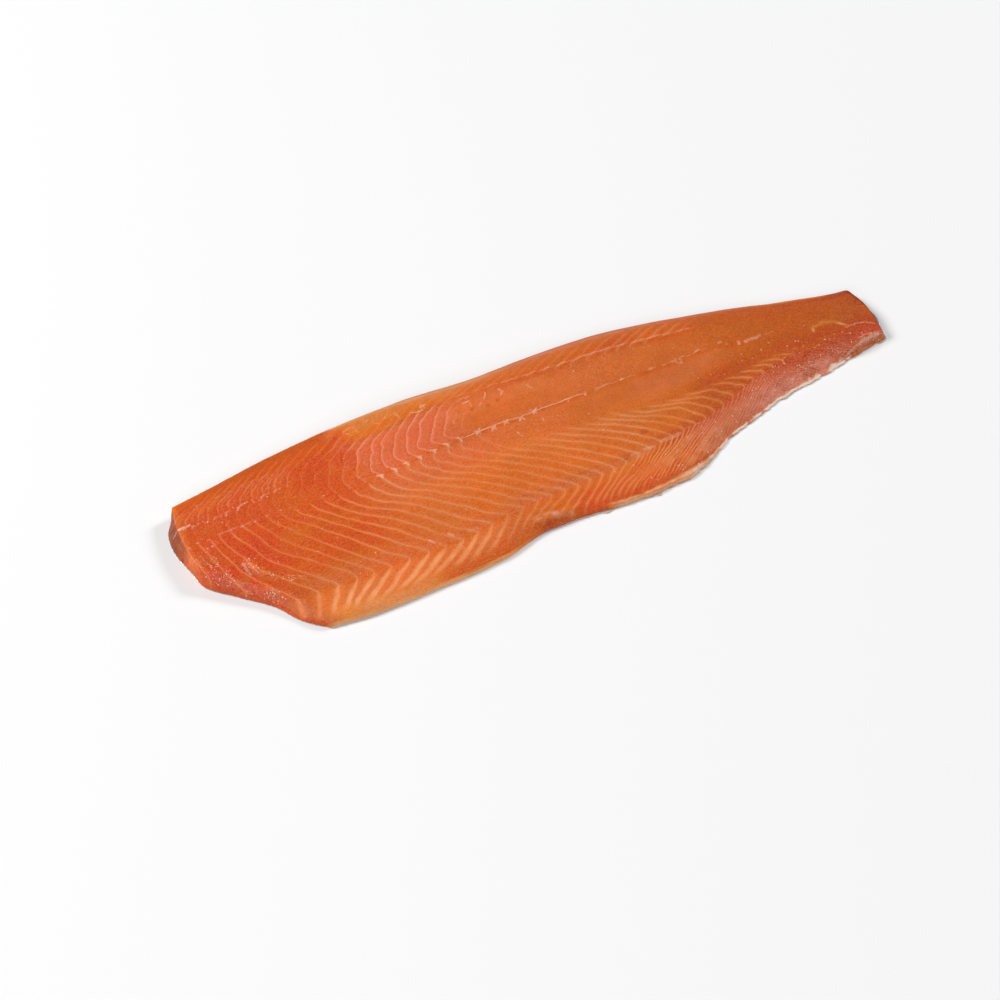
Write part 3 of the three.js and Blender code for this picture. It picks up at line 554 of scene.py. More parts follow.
def tones():
    x, y = qx, qy
    n1, n2, n3, n4 = fbm(x, y, 60, 21, 3, 1.5), fbm(x, y, 18, 22, 3, 1.4), fbm(x, y, 5, 23, 2, 1.3), fbm(x, y, 9, 24, 2, 2.5)
    # smoked outer flesh, darker and redder towards the tail: partly its own colour, partly painted shade where the
    # light falls off towards the tail
    t = np.stack([np.interp(x, [-270, -100, 25, 100, 200, 260], c) for c in ((224, 223, 212, 204, 192, 182), (110, 110, 107, 102, 90, 86), (52, 56, 52, 48, 30, 26))], 1)
    # pinker freshly carved flesh between the seam and the line below the back
    t = lay(t, (227, 111, 70), band(0.0, 0.12, 0.8, 1.0, w) * band(-150, -130, -85, -50, x))
    t = lay(t, (222, 114, 72), 0.7 * band(-0.35, -0.2, -0.03, 0.05, w) * band(-150, -130, -60, -20, x))
    # more orange below the seam
    t = lay(t, (222, 118, 50), 0.7 * band(-1, -0.85, -0.45, -0.2, w) * band(-150, -100, 60, 130, x))
    # slightly milky film on the smooth flesh, partly a painted sheen
    t = lay(t, (212, 116, 68), 0.55 * band(-0.45, -0.2, 0.75, 0.95, w) * smooth(-60, 0, x) * (1 - smooth(150, 200, x)) * np.clip(0.5 + 0.9 * n2, 0, 1))
    t = lay(t, (190, 96, 46), 0.5 * band(0.1, 0.3, 0.6, 0.85, w) * smooth(90, 130, x) * (1 - smooth(200, 230, x)) * np.clip(0.5 + 0.9 * n1, 0, 1))
    # back: orange, then tan fat and the edge of the skin
    t = lay(t, (214, 102, 30), 0.8 * band(0.90, 1.0, 1.2, 1.45, w) * (1 - smooth(90, 140, x)))
    t = lay(t, (234, 122, 44), 0.7 * band(0.95, 1.1, 1.35, 1.6, w) * band(-150, -130, -70, -30, x))
    t = lay(t, (226, 140, 74), 0.9 * smooth(1.12, 1.45, w + 0.06 * n2) * band(-150, -135, -75, -40, x))
    t = lay(t, (216, 136, 72), 0.85 * smooth(1.2, 1.55, w + 0.06 * n2) * band(-85, -45, -38, 2, x))
    t = lay(t, (218, 150, 94), 0.75 * smooth(1.5, 1.85, w + 0.06 * n2) * band(-150, -135, -20, 20, x))
    t = lay(t, (211, 120, 58), 0.7 * smooth(1.4, 1.75, w) * smooth(-20, 20, x) * (1 - smooth(195, 225, x)))
    t = lay(t, (208, 140, 78), 0.8 * smooth(1.45, 1.8, w) * band(185, 215, 238, 252, x))
    t = lay(t, (178, 88, 30), 0.7 * smooth(0.8, 1.2, w) * smooth(236, 256, x))
    t = lay(t, (216, 152, 94), 0.8 * smooth(5.5, 1.0, from_back + 1.5 * n2) * band(-135, -115, -15, 30, x))
    t = lay(t, (192, 134, 84), 0.7 * smooth(2.5, 0.5, from_back + 0.8 * n2) * smooth(-150, -130, x))
    # fine upright fibres in the fat along the back
    fibre = noise(x * 1.6, y * 0.25, 1.3, 91)
    t = t * (1 + 0.05 * (0.6 * fibre * smooth(1.1, 1.5, w) * band(-150, -130, 160, 200, x))[:, None])
    # belly below the hinge
    t = lay(t, (224, 110, 34), 0.85 * smooth(-0.95, -1.15, w) * band(-76, -50, 30, 70, x))
    t = lay(t, (217, 78, 3), 0.92 * smooth(-1.15, -1.55, w) * band(-24, -6, 64, 92, x))
    t = lay(t, (226, 106, 18), 0.95 * smooth(-0.95, -1.1, w) * (1 - smooth(-75, -40, x)))
    # pale translucent margin along the left belly edge, partly its own colour and partly painted light that lifts the
    # shade of the steep roll-off
    t = lay(t, (238, 160, 104), (0.55 + 0.3 * smooth(-188, -172, x)) * smooth(-1.5, -1.88, w + 0.10 * n2) * (1 - smooth(-140, -105, x)))
    t = lay(t, (214, 98, 14), 0.8 * smooth(-1.2, -1.55, w) * band(-130, -110, -70, -40, x))
    t = lay(t, (224, 116, 66), 0.5 * band(-0.5, -0.1, 0.1, 0.4, w + 1) * band(-75, -55, 20, 60, x))
    # pale flat band of film along the hinge
    t = lay(t, (230, 148, 122), 0.9 * np.exp(-(((FF["hinge"] - 0.6) / (3.0 + 0.8 * n2)) ** 2)) * band(24, 50, 80, 98, x) * np.clip(0.65 + 0.9 * n3, 0.1, 1))
    t = lay(t, (214, 122, 82), 0.45 * np.exp(-(((FF["hinge"] - 1.0) / 3.0) ** 2)) * band(-160, -120, 20, 40, x) * np.clip(0.5 + n2, 0, 1))
    # belly near the tail: pink and grainy, with a milky glare painted into the colour
    t = lay(t, (194, 74, 12), 0.9 * smooth(-0.85, -1.05, w) * smooth(40, 84, x))
    t = lay(t, (186, 78, 30), 0.8 * smooth(-1.15, -1.5, w + 0.08 * n2) * smooth(95, 140, x) * (1 - smooth(240, 264, x)))
    t = lay(t, (196, 106, 78), 0.7 * smooth(-1.4, -1.75, w + 0.12 * n2) * smooth(90, 130, x) * (1 - smooth(226, 246, x)))
    # painted highlight: the pinkish-white glare laid into the colour
    t = lay(t, (236, 160, 148), 0.95 * smooth(-1.3, -1.65, w + 0.12 * n2) * band(128, 164, 212, 240, x) * np.clip(0.5 + 0.9 * n3 + 0.6 * n2, 0, 1))
    t = lay(t, (180, 68, 0), 0.85 * smooth(-0.1, -0.6, w) * smooth(200, 236, x) * (1 - smooth(-1.35, -1.55, w)))
    t = lay(t, (184, 76, 30), 0.7 * smooth(-0.15, -0.6, w) * (1 - smooth(-0.9, -1.2, w)) * smooth(150, 200, x))
    t = lay(t, (184, 74, 18), 0.6 * band(-0.98, -0.8, -0.55, -0.35, w) * band(95, 120, 150, 180, x))
    t = lay(t, (206, 84, 22), 0.7 * bump(x, y, 86, -53, 9, 2.6, 30) + 0.5 * bump(x, y, 112, -45, 10, 2.2, 38))
    # whitish worn edge from the notch to the tail
    tab = noise(x, 0 * x, 5.5, 103) + 0.6 * noise(x, 0 * x, 2.2, 104)
    rimy = smooth(2.5, 0.4, from_belly + 1.5 * n3 - (0.5 + 1.1 * smooth(120, 160, x)) * tab) * (0.08 * smooth(2, 20, x) + 0.92 * smooth(50, 80, x))
    t = lay(t, (255, 242, 230), 0.94 * rimy * (1 - is_side) * (1 - 0.6 * smooth(234, 244, x)))
    margin = smooth(np.interp(x, [5, 20, 45, 62, 85, 100], [1.1, 1.4, 1.8, 3.0, 2.8, 1.8]), 0.0, from_belly + 1.0 * n3) * band(4, 18, 92, 108, x)
    t = lay(t, (250, 208, 172), 0.85 * margin * (1 - is_side))
    t = lay(t, (255, 222, 194), 0.45 * smooth(1.1, 0.2, from_belly + 0.5 * n3) * band(0, 10, 92, 108, x) * (1 - is_side))
    t = lay(t, (228, 150, 118), 0.7 * band(-1.95, -1.82, -1.6, -1.4, w) * band(62, 78, 110, 128, x) * np.clip(0.5 + 1.1 * n3, 0, 1))
    # freshly carved flesh at the head end
    t = lay(t, (216, 90, 22), 0.9 * cut * band(-1.1, -0.9, 1.0, 1.25, w))
    t = lay(t, (200, 66, 8), 0.65 * cut * np.clip(0.1 + 1.8 * n2 + 0.6 * n3, 0, 1) * (1 - smooth(1.0, 1.2, w)) * (1 - 0.55 * smooth(-205, -185, x) * smooth(40, 20, y)))
    t = lay(t, (220, 112, 44), 0.5 * cut * np.clip(-0.2 + 1.6 * n4 - 0.8 * n2, 0, 1) * (1 - smooth(1.0, 1.2, w)))
    t = lay(t, (212, 90, 16), 0.65 * cut * head * band(0.02, 0.1, 0.5, 0.62, w))
    t = lay(t, (214, 94, 24), 0.5 * cut * head * band(0.5, 0.62, 0.85, 1.0, w) * np.clip(0.5 + 1.4 * n4, 0, 1))
    t = lay(t, (208, 84, 8), 0.85 * cut * smooth(0.98, 1.15, w))
    t = lay(t, (196, 90, 26), 0.75 * cut * smooth(1.45, 1.75, w) * smooth(-258, -236, x))
    t = lay(t, (208, 112, 34), 0.8 * cut * smooth(1.5, 1.9, w) * (1 - smooth(-250, -225, x)))
    t = lay(t, (204, 130, 84), 0.5 * smooth(1.8, 0.3, from_back) * cut)
    # painted shade, deep red-orange, where the carved part steps down, and brighter at the notch the knife left
    t = lay(t, (204, 66, 20), 0.6 * bump(x, y, -142, 46, 8, 14, 6))
    t = lay(t, (232, 106, 22), 0.7 * bump(x, y, -139, 62, 9, 4, 10))
    # darker, brownish flesh below the fold, by the uncut belly
    t = lay(t, (190, 92, 48), 0.6 * cut * smooth(-0.78, -0.95, w + 0.05 * n2) * smooth(-240, -222, x))
    # orange-brown rim and purplish film along the head end
    t = lay(t, (228, 130, 40), 0.7 * smooth(6.0, 1.0, from_head + n2) * smooth(0.5, 0.62, vv) * (1 - is_side))
    t = lay(t, (190, 84, 58), 0.45 * smooth(13, 3, from_head + 5 * n2) * (1 - smooth(0.42, 0.5, vv)) * np.clip(0.7 + 1.1 * n3, 0, 1))
    t = lay(t, (180, 60, 20), 0.4 * smooth(11, 2, from_head + 6 * n4) * (1 - smooth(0.4, 0.5, vv)) * np.clip(0.2 - 1.6 * n3, 0, 1))
    corner = np.exp(-((near_path(x, y, [(-258, 6), (-252, -8), (-246, -20), (-234, -32), (-224, -42)]) / 9.0) ** 2))
    patch = noise(x, y, 5.5, 106) + 0.6 * noise(x, y, 2.6, 107)
    t = lay(t, (206, 122, 102), 0.75 * corner * np.clip(0.1 + 1.5 * patch, 0, 1))
    t = lay(t, (226, 92, 14), 0.6 * corner * np.clip(-0.1 - 1.5 * patch, 0, 1))
    # thin brownish film between the fold and the belly stripes
    t = lay(t, (204, 116, 76), 0.6 * np.exp(-((near_path(x, y, [(-227, -27), (-216, -37), (-202, -43), (-190, -47)]) / 5.5) ** 2)) * np.clip(0.7 + 0.6 * n3, 0, 1))
    # painted shade: purplish darker patch in the hollow on the head side of the fold
    t = lay(t, (170, 76, 62), 0.7 * bump(x, y, -239.5, -15, 2.4, 7, 30))
    # pale pinkish film along the fold, partly painted sheen on its ridge
    t = lay(t, (224, 142, 110), 0.75 * np.exp(-((near_path(x, y, HEAD_FOLD) / (2.0 + 1.2 * smooth(-222, -228, x))) ** 2)) * np.clip(0.7 + n3, 0, 1))
    # painted shade in the notch the knife left
    t = lay(t, (196, 60, 10), 0.8 * bump(x, y, CLEFT[0], CLEFT[1], 6.0, 2.2, 24))
    # saturated dashes between the seam knots
    dash = np.clip(np.min([np.hypot(x - kx, y - ky) for kx, ky in SEAM_KNOTS], 0) / 2.4 - 0.7, 0, 1)
    t = lay(t, (228, 88, 14), 0.75 * dash * np.exp(-(((FF["seam"] - 0.2) / 1.3) ** 2)) * band(-131, -127, -72, -66, x))
    # thick fold by the notch in the belly edge
    t = lay(t, (168, 58, 26), 0.8 * bump(x, y, -33, -62.6, 12, 2.4, -3))
    # pale top of the thick fold: pinkish film, partly painted highlights
    over = np.exp(-((near_path(x, y, [(-50, -55.6), (-40, -56.6), (-30, -57.8), (-21, -61.0)]) / 2.5) ** 2))
    t = lay(t, (208, 122, 96), 0.9 * over * np.clip(0.75 + 0.7 * n3, 0.2, 1))
    t = lay(t, (236, 176, 152), 0.8 * over * np.clip(2.2 * noise(x, y, 2.4, 105, 2.6) - 0.3, 0, 1))
    # thin dark crease along the hinge, bruise, dark spots
    t = lay(t, (178, 74, 28), 0.55 * np.exp(-((near_path(x, y, [(-50, -38), (-20, -37.2), (10, -36.6), (40, -36)]) / 0.8) ** 2)) * np.clip(0.5 + 1.5 * n3, 0, 1))
    t = lay(t, (150, 66, 62), 0.9 * bump(x, y, 32.7, -38.5, 2.2, 0.8, 15))
    for cx, cy, r0 in ((82, 21.4, 1.6), (154, 21.5, 1.4), (-49, 38.5, 1.2), (-37, 37.5, 1.0), (-29, 39, 1.2), (56, -23, 2.2), (127.5, 24.6, 1.4)):
        t = lay(t, (176, 62, 18), 0.6 * bump(x, y, cx, cy, r0 * 1.4, r0, 10))
    # deeper band just under the seam, partly its own deeper colour and partly painted shade under the groove
    t = lay(t, (200, 86, 28), 0.55 * np.exp(-(((FF["seam"] + 1.6) / 1.5) ** 2)) * smooth(-80, -50, x) * (1 - smooth(150, 190, x)))
    t = lay(t, (204, 84, 22), 0.6 * np.exp(-(((FF["dorsal"] + 2.6) / 2.2) ** 2)) * smooth(-30, 5, x) * (1 - smooth(120, 150, x)))
    # tail end
    t = lay(t, (206, 128, 66), 0.8 * smooth(3.0, 0.4, near_path(x, y, TAIL_CREASE) + 0.8 * n3))
    t = lay(t, (196, 88, 20), 0.8 * bump(x, y, 264, 13.5, 5.0, 3.2, 50))
    t = lay(t, (140, 50, 36), 0.75 * smooth(4.0, 0.5, from_tail + 1.2 * n3) * smooth(0.5, 0.62, vv) * (1 - is_side))
    t = lay(t, (198, 70, 0), 0.85 * bump(x, y, 254, -2.4, 16, 4.6, -8))
    bevel = y - np.interp(x, [a for a, b in TAIL_BEVEL], [b for a, b in TAIL_BEVEL])
    t = lay(t, (190, 92, 26), 0.8 * smooth(-0.3, -1.0, bevel) * smooth(226, 236, x))
    # painted highlight: pale line along the bevel ridge
    t = lay(t, (214, 130, 108), 0.6 * np.exp(-((bevel / 0.8) ** 2)) * smooth(222, 230, x))
    dim = (1.0 * smooth(12, 4, from_back) * smooth(-40, 10, x) + 0.85 * smooth(10, 2, from_back) * (1 - smooth(-40, 10, x)) * smooth(-95, -75, x)) * (1 - is_side)
    t = t * (1 - dim[:, None] * np.array((0.06, 0.22, 0.7)))
    t = t * (1 - (smooth(246, 262, x) * (1 - is_side) * (1 - smooth(-1.2, -1.5, w)))[:, None] * np.array((0.02, 0.08, 0.5)))
    # sides
    grainy = noise(x * 1.2, y * 1.2, 2.2, 93)
    grain_up = noise(y * 1.1, DOWNW * 4, 2.0, 94, 0.5) + 0.5 * noise(y * 2.3, DOWNW * 5, 2.0, 95, 0.5)
    t = lay(t, (214, 100, 20), 0.92 * head_face * smooth(0.42, 0.56, vv))
    t = lay(t, (142, 68, 20), 0.85 * head_face * smooth(0.62, 0.8, vv))
    t = lay(t, (200, 110, 30), 0.5 * head_face * smooth(0.45, 0.6, vv) * np.clip(grain_up + 0.15, 0, 1))
    t = lay(t, (120, 50, 26), 0.5 * head_face * smooth(0.45, 0.6, vv) * np.clip(-grain_up - 0.1, 0, 1))
    t = lay(t, (206, 84, 20), 0.6 * head_face * (1 - smooth(0.1, 0.2, vv)))
    t = lay(t, (202, 88, 30), 0.7 * head_face * band(0.1, 0.2, 0.42, 0.52, vv))
    t = lay(t, (126, 58, 40), 0.85 * tail_face * smooth(0.3, 0.5, vv))
    t = lay(t, (196, 96, 34), 0.7 * tail_face * (1 - smooth(0.2, 0.4, vv)))
    t = lay(t, (186, 130, 84), 0.8 * back_face)
    pale_down = smooth(0.05, 0.6, DOWNW + 0.25 * noise(x, 30 * DOWNW, 7.0, 108, 2.0))
    # painted light: the shaded belly side under the left belly is painted pale, paler towards the foot, for light
    # through the thin flesh; partly the margin's own paler colour
    t = lay(t, (252, 196, 142), (0.45 + 0.45 * pale_down) * belly_face * (1 - smooth(-80, -40, x)))
    t = lay(t, (206, 92, 30), 0.7 * belly_face * band(-60, -30, 2, 14, x))
    t = lay(t, (252, 208, 172), (0.66 + 0.22 * pale_down) * belly_face * band(2, 16, 70, 100, x))
    t = lay(t, (255, 240, 226), 0.92 * belly_face * smooth(60, 95, x) * (1 - 0.7 * smooth(234, 244, x)) * np.clip(0.75 + 0.8 * tab, mix(0.7, 0.15, smooth(95, 130, x)), 1))
    flat = 1 - is_side
    t = t * (1 + (flat * band(0.40, 0.46, 0.56, 0.62, vv) * band(55, 75, 140, 170, x))[:, None] * np.array((-0.01, 0.02, 0.2)))
    t = lay(t, (226, 146, 108), 0.3 * flat * band(-0.04, -0.02, 0.1, 0.15, vv) * band(88, 106, 132, 148, x))
    t = t * (1 - (flat * band(0.3, 0.36, 0.40, 0.46, vv) * band(40, 52, 85, 100, x))[:, None] * np.array((0.04, 0.03, 0.03)))
    t = t * (1 + (flat * band(0.4, 0.43, 0.48, 0.52, vv) * band(-55, -45, -15, -5, x))[:, None] * np.array((0.035, 0.06, 0.06)))
    t = t * (1 + (flat * band(0.7, 0.73, 0.78, 0.81, vv) * band(-80, -68, 4, 16, x))[:, None] * np.array((0.03, 0.08, 0.2)))
    t = t * (1 - (flat * band(0.8, 0.83, 0.87, 0.9, vv) * band(52, 66, 84, 98, x))[:, None] * np.array((0.05, 0.12, 0.25)))
    t = t * (1 + (flat * band(0.05, 0.07, 0.1, 0.13, vv) * band(64, 71, 80, 90, x))[:, None] * np.array((0.06, 0.12, 0.3)))
    t = t * (1 + (flat * band(0.0, 0.02, 0.13, 0.19, vv) * band(200, 212, 226, 238, x))[:, None] * np.array((0.05, 0.09, 0.12)))
    t = t * (1 - (flat * band(0.4, 0.44, 0.66, 0.7, vv) * (1 - smooth(-238, -228, x)))[:, None] * np.array((0.0, 0.09, 0.3)))
    t = t * (1 + (flat * smooth(-0.98, -1.2, w) * (1 - smooth(-192, -180, x)))[:, None] * np.array((0.04, 0.07, 0.0)))
    t = t * (1 + (flat * band(0.86, 0.89, 0.94, 0.97, vv) * band(-250, -242, -232, -224, x))[:, None] * np.array((0.0, 0.06, 0.0)))
    t = t * (1 - (flat * band(0.93, 0.96, 1.1, 1.2, vv) * band(12, 30, 100, 130, x))[:, None] * np.array((0.0, 0.0, 0.25)))
    t = lay(t, (222, 130, 62), 0.5 * flat * band(0.85, 0.88, 0.91, 0.94, vv) * (1 - smooth(-240, -228, x)))
    t = lay(t, (216, 142, 84), 0.4 * flat * band(0.86, 0.89, 0.93, 0.96, vv) * band(-76, -68, -54, -46, x))
    t = lay(t, (212, 146, 54), 0.5 * flat * smooth(0.9, 0.95, vv) * band(190, 212, 244, 252, x))
    t = t * (1 + (flat * band(0.2, 0.28, 0.5, 0.6, vv) * band(-80, -65, 0, 20, x))[:, None] * np.array((0.02, 0.01, 0.0)))
    t = t * (1 - (flat * band(0.16, 0.24, 0.36, 0.44, vv) * band(-95, -70, 80, 110, x))[:, None] * np.array((-0.01, 0.02, 0.22)))
    t = t * (1 + (flat * band(0.36, 0.44, 0.72, 0.8, vv) * band(-70, -40, 150, 180, x))[:, None] * np.array((0.02, 0.03, 0.0)))
    t = t * (1 + (flat * band(0.28, 0.38, 0.55, 0.62, vv) * band(-140, -115, -60, -25, x))[:, None] * np.array((0.045, 0.025, 0.02)))
    t = t * (1 - (flat * cut * band(-1.0, -0.8, 1.0, 1.1, w) * (1 - smooth(-215, -195, x)))[:, None] * np.array((0.0, 0.09, 0.5)))
    t = t * (1 + 0.03 * n1 + 0.035 * n2 + 0.025 * n3)[:, None] * (1 + np.array([0.0, 0.035, 0.06]) * (n4 - n2)[:, None])
    return np.clip(t, 0, 255)


def line_tones():
    """Colour of the fat in the muscle lines."""
    x = qx
    t = np.tile(np.array((232.0, 162.0, 116.0)), (len(x), 1))
    t = lay(t, (234, 146, 84), smooth(40, 110, x))
    t = lay(t, (248, 168, 140), band(0.0, 0.1, 0.9, 1.0, w) * (1 - smooth(-70, -50, x)))
    t = lay(t, (234, 140, 84), smooth(1.0, 1.1, w))
    t = lay(t, (234, 142, 84), smooth(-0.98, -1.1, w) * smooth(-60, -20, x))
    t = lay(t, (234, 134, 74), 0.8 * smooth(-1.05, -1.3, w) * band(-14, 4, 40, 66, x))
    t = lay(t, (226, 138, 102), smooth(-0.98, -1.1, w) * smooth(60, 110, x))
    t = lay(t, (232, 152, 130), smooth(-1.2, -1.5, w) * smooth(110, 160, x))
    t = lay(t, (244, 164, 108), smooth(-0.98, -1.1, w) * (1 - smooth(-90, -50, x)))
    t = lay(t, (238, 138, 84), cut * (1 - smooth(1.0, 1.1, w)))
    t = lay(t, (228, 128, 66), cut * smooth(1.0, 1.1, w))
    return t


def linear(t):
    t = t / 255
    return np.clip((np.where(t <= 0.04045, t / 12.92, ((t + 0.055) / 1.055) ** 2.4) - SHEEN) / SCALE, 0.001, 1)


LIN, LINE_LIN = linear(tones()), linear(line_tones())
LIN = np.clip(LIN - np.maximum(head_face, tail_face)[:, None] * np.array((0.0, 0.018, 0.03)), 0.001, 1)
LIN = LIN * (1 - 0.3 * head_face * smooth(0.58, 0.75, vv))[:, None]
wet = 1 - 0.85 * np.clip(head_face + tail_face + 0.6 * belly_face + 0.6 * back_face, 0, 1)
wet = wet * (1 - 0.45 * smooth(-0.98, -1.1, w) * (1 - smooth(-90, -50, qx))) * (1 - 0.5 * smooth(-1.1, -1.4, w) * band(-30, -10, 50, 75, qx))
wet = wet * (1 - 0.7 * smooth(3.5, 0.8, from_head) * (1 - is_side)) * (1 - 0.9 * smooth(11, 3, from_back) * smooth(-150, -120, qx) * (1 - is_side)) * (1 - 0.75 * smooth(238, 258, qx) * smooth(-12, -4, qy))

strength = line_strength(qx, qy, w)
n_amp = fbm(qx, qy, 22, 81, 2)
below, carved_v = smooth(-0.98, -1.1, w), cut * (1 - smooth(0.0, 0.05, w))
tint = 0.44 + 0.0 * qx
tint = mix(tint, 0.40, band(0.0, 0.1, 0.85, 1.0, w) * (1 - smooth(-70, -45, qx)))
tint = mix(tint, 0.48, smooth(1.0, 1.1, w))
flare = smooth(-0.98, -1.3, w)
tint = mix(tint, 0.95, flare * (1 - smooth(-90, -50, qx)))
tint = mix(tint, 0.76, below * smooth(-60, 0, qx))
tint = mix(tint, 1.0, below * smooth(40, 90, qx))
tint = mix(tint, 0.70, (1 - below) * smooth(40, 100, qx))
tint = mix(tint, 0.8, carved_v)
tint = mix(tint, 0.26, cut * band(0.0, 0.05, 0.5, 0.6, w))
tint = mix(tint, 0.30, cut * band(0.5, 0.6, 0.95, 1.05, w))
tint = mix(tint, 0.85, cut * smooth(1.0, 1.1, w))
tint = tint * (1 - 0.45 * smooth(-1.35, -1.75, w) * band(-145, -115, -50, -20, qx)) * (1 - 0.25 * below * band(-135, -112, -70, -45, qx)) * (1 - 0.3 * below * smooth(95, 125, qx))
line_amp = strength * tint * np.clip(1 + 0.55 * n_amp, 0.3, 1.4) * (1 - 0.85 * DOWNW * np.maximum(head_face, tail_face)) * (1 - 0.5 * DOWNW)
line_wide = mix(0.52, 0.46, band(0.0, 0.1, 0.85, 1.0, w) * (1 - smooth(-70, -50, qx)))
line_wide = mix(line_wide, 1.7, flare * (1 - smooth(-90, -50, qx)))
line_wide = mix(line_wide, 0.62, below * smooth(-60, 0, qx))
line_wide = mix(line_wide, 0.36, cut * (1 - below))
# which side of a line fades softly: +1 the tail side, 0 both
one_sided = band(0.0, 0.05, 0.95, 1.05, w) * (1 - smooth(-70, -50, qx))
# finer lines between the others on the belly towards the tail
second = smooth(-0.99, -1.12, w) * smooth(20, 50, qx) * (1 - smooth(150, 185, qx)) * (1 - 0.8 * smooth(-1.75, -1.92, w)) * 0.85 * (1 - 0.35 * smooth(95, 125, qx)) * (1 - DOWNW)
halo = (1 - second) * (1 - 0.5 * smooth(-0.98, -1.1, w) * (1 - smooth(-90, -50, qx)))
along = noise(qx, 0 * qx, 6.0, 61)
top = 1 - DOWNW
seam_amp = (band(-68, -62, 26, 34, qx) * (0.75 + 0.3 * along) + 0.3 * smooth(30, 40, qx) * (1 - smooth(150, 190, qx)) * smooth(0.0, 0.5, noise(qx, 0 * qx, 3.2, 62)) + 0.12 * band(-250, -245, -215, -180, qx)) * top
dorsal_amp = 0.42 * band(-62, -45, 105, 130, qx) * (0.3 + 0.7 * smooth(-0.4, 0.4, noise(qx, 0 * qx, 6.0, 64))) * top
mark_mm, mark_pale = marks_at(qx, qy)
mark_pale = mark_pale * top
# slanting pale streaks behind the pin bones at the head end
slant = np.cos(np.pi * (FF["k"] * 2)) ** 2
fat = 0.22 * head * band(0.58, 0.68, 0.95, 1.05, w) * smooth(0.6, 0.95, slant) * np.clip(0.6 + n_amp, 0, 1) * top
grit = np.maximum(smooth(-0.6, -1.15, w) * (0.45 * smooth(60, 100, qx) + 0.55 * smooth(130, 175, qx)) * (1 - 0.6 * smooth(222, 242, qx)), 0.25 * smooth(-0.95, -1.3, w) * smooth(-20, 40, qx) * (1 - smooth(60, 100, qx)))
grit = np.maximum(grit, 0.9 * np.exp(-((near_path(qx, qy, [(-262, 4), (-257, -6), (-252, -20), (-238, -32), (-228, -42)]) / 7.0) ** 2)))
grit = np.maximum(grit, 1.0 * np.exp(-((near_path(qx, qy, HEAD_FOLD) / 3.2) ** 2)))
grit = np.maximum(grit, 0.22 * smooth(-10, -1, FF["seam"]) * smooth(190, 230, qx) * (1 - smooth(20, 30, qy)))
grit = np.maximum(grit, 0.34 * cut * (1 - smooth(1.0, 1.2, w)))
grit = np.clip(grit + 0.10, 0, 1) * top - 0.4 * band(-0.55, -0.3, -0.05, 0.1, w) * band(0, 25, 120, 160, qx) * top - 0.3 * band(0.05, 0.15, 0.8, 0.95, w) * band(-130, -110, 10, 40, qx) * top
# painted wet glints: pale dots laid into the colour, thickest along the pin bones, on the fold and on the torn corner
glint = 0.75 * np.exp(-(((qy - np.interp(qx, [-270, -244, -220, -190], [34.6, 33.6, 36, 37.6])) / 1.7) ** 2)) * (1 - smooth(-196, -180, qx)) * np.clip(0.5 + 1.3 * noise(qx, qy, 3.5, 97), 0, 1)
glint = np.maximum(glint, 1.0 * np.exp(-((near_path(qx, qy, HEAD_FOLD) / 3.2) ** 2)) * (1 - 0.5 * smooth(-228, -220, qx)) * np.clip(1.0 + 1.2 * noise(qx, qy, 3.0, 98), 0, 1))
glint = np.maximum(glint, 0.85 * np.exp(-((near_path(qx, qy, [(-266, 10), (-258, -4), (-249, -20), (-236, -32), (-226, -42)]) / 6.0) ** 2)) * np.clip(1.8 * noise(qx, qy, 3.4, 99), 0, 1))
glint = np.maximum(glint, 0.35 * smooth(-1.1, -1.5, w) * smooth(30, 80, qx) * np.clip(0.3 + 1.2 * noise(qx, qy, 4.0, 100), 0, 1))
glint = np.maximum(glint, 0.5 * np.exp(-(((qy + 7.5) / 2.5) ** 2)) * smooth(244, 252, qx)) * top
# whitish worn rim of the thin belly edge
worn = noise(qx, 0 * qx, 5.5, 103) + 0.6 * noise(qx, 0 * qx, 2.2, 104)
rim_pale = smooth(2.0, 0.1, from_belly - (0.3 + 0.7 * smooth(120, 160, qx)) * worn) * (1 - is_side) + belly_face * (1 - smooth(0.3, 0.8, DOWNW)) * is_side
rim_pale = rim_pale * smooth(48, 90, qx) * (1 - 0.7 * smooth(234, 246, qx)) * np.clip(0.75 + 0.5 * worn, mix(0.5, 0.2, smooth(95, 130, qx)), 1)
# fine ripples across the belly film near the tail, drawn as pale stripes in the colour: painted sheen on the ripples
ripple_at = (0.40 * qx + 0.92 * qy) * 2 * np.pi / 1.7
ripple = 0.5 * smooth(-1.1, -1.4, w) * band(150, 185, 240, 262, qx) * np.clip(0.6 + 0.8 * fbm(qx, qy, 9, 96, 2), 0, 1) * top


# ------------------------------------------------------------------ mesh
def make_mesh(name, co, faces, attrs, colours):
    me = bpy.data.meshes.new(name)
    pts = (co + np.array([ORIGIN[0], ORIGIN[1], 0])) / 1000
    me.vertices.add(len(pts))
    me.vertices.foreach_set("co", pts.astype(np.float32).ravel())
    sizes = np.array([len(f) for f in faces])
    flat = np.concatenate([np.asarray(f) for f in faces])
    me.loops.add(len(flat))
    me.loops.foreach_set("vertex_index", flat.astype(np.int32))
    me.polygons.add(len(faces))
    starts = np.concatenate([[0], np.cumsum(sizes)[:-1]])
    me.polygons.foreach_set("loop_start", starts.astype(np.int32))
    me.polygons.foreach_set("loop_total", sizes.astype(np.int32))
    me.update(calc_edges=True)
    me.validate()
    for a, vals in attrs.items():
        at_ = me.attributes.new(a, "FLOAT", "POINT")
        at_.data.foreach_set("value", np.asarray(vals, np.float32))
    for a, vals in colours.items():
        at_ = me.attributes.new(a, "FLOAT_COLOR", "POINT")
        at_.data.foreach_set("color", np.concatenate([vals, np.ones((len(vals), 1))], 1).astype(np.float32).ravel())
    me.polygons.foreach_set("use_smooth", np.ones(len(faces), bool))
    ob = bpy.data.objects.new(name, me)
    bpy.context.scene.collection.objects.link(ob)
    return ob


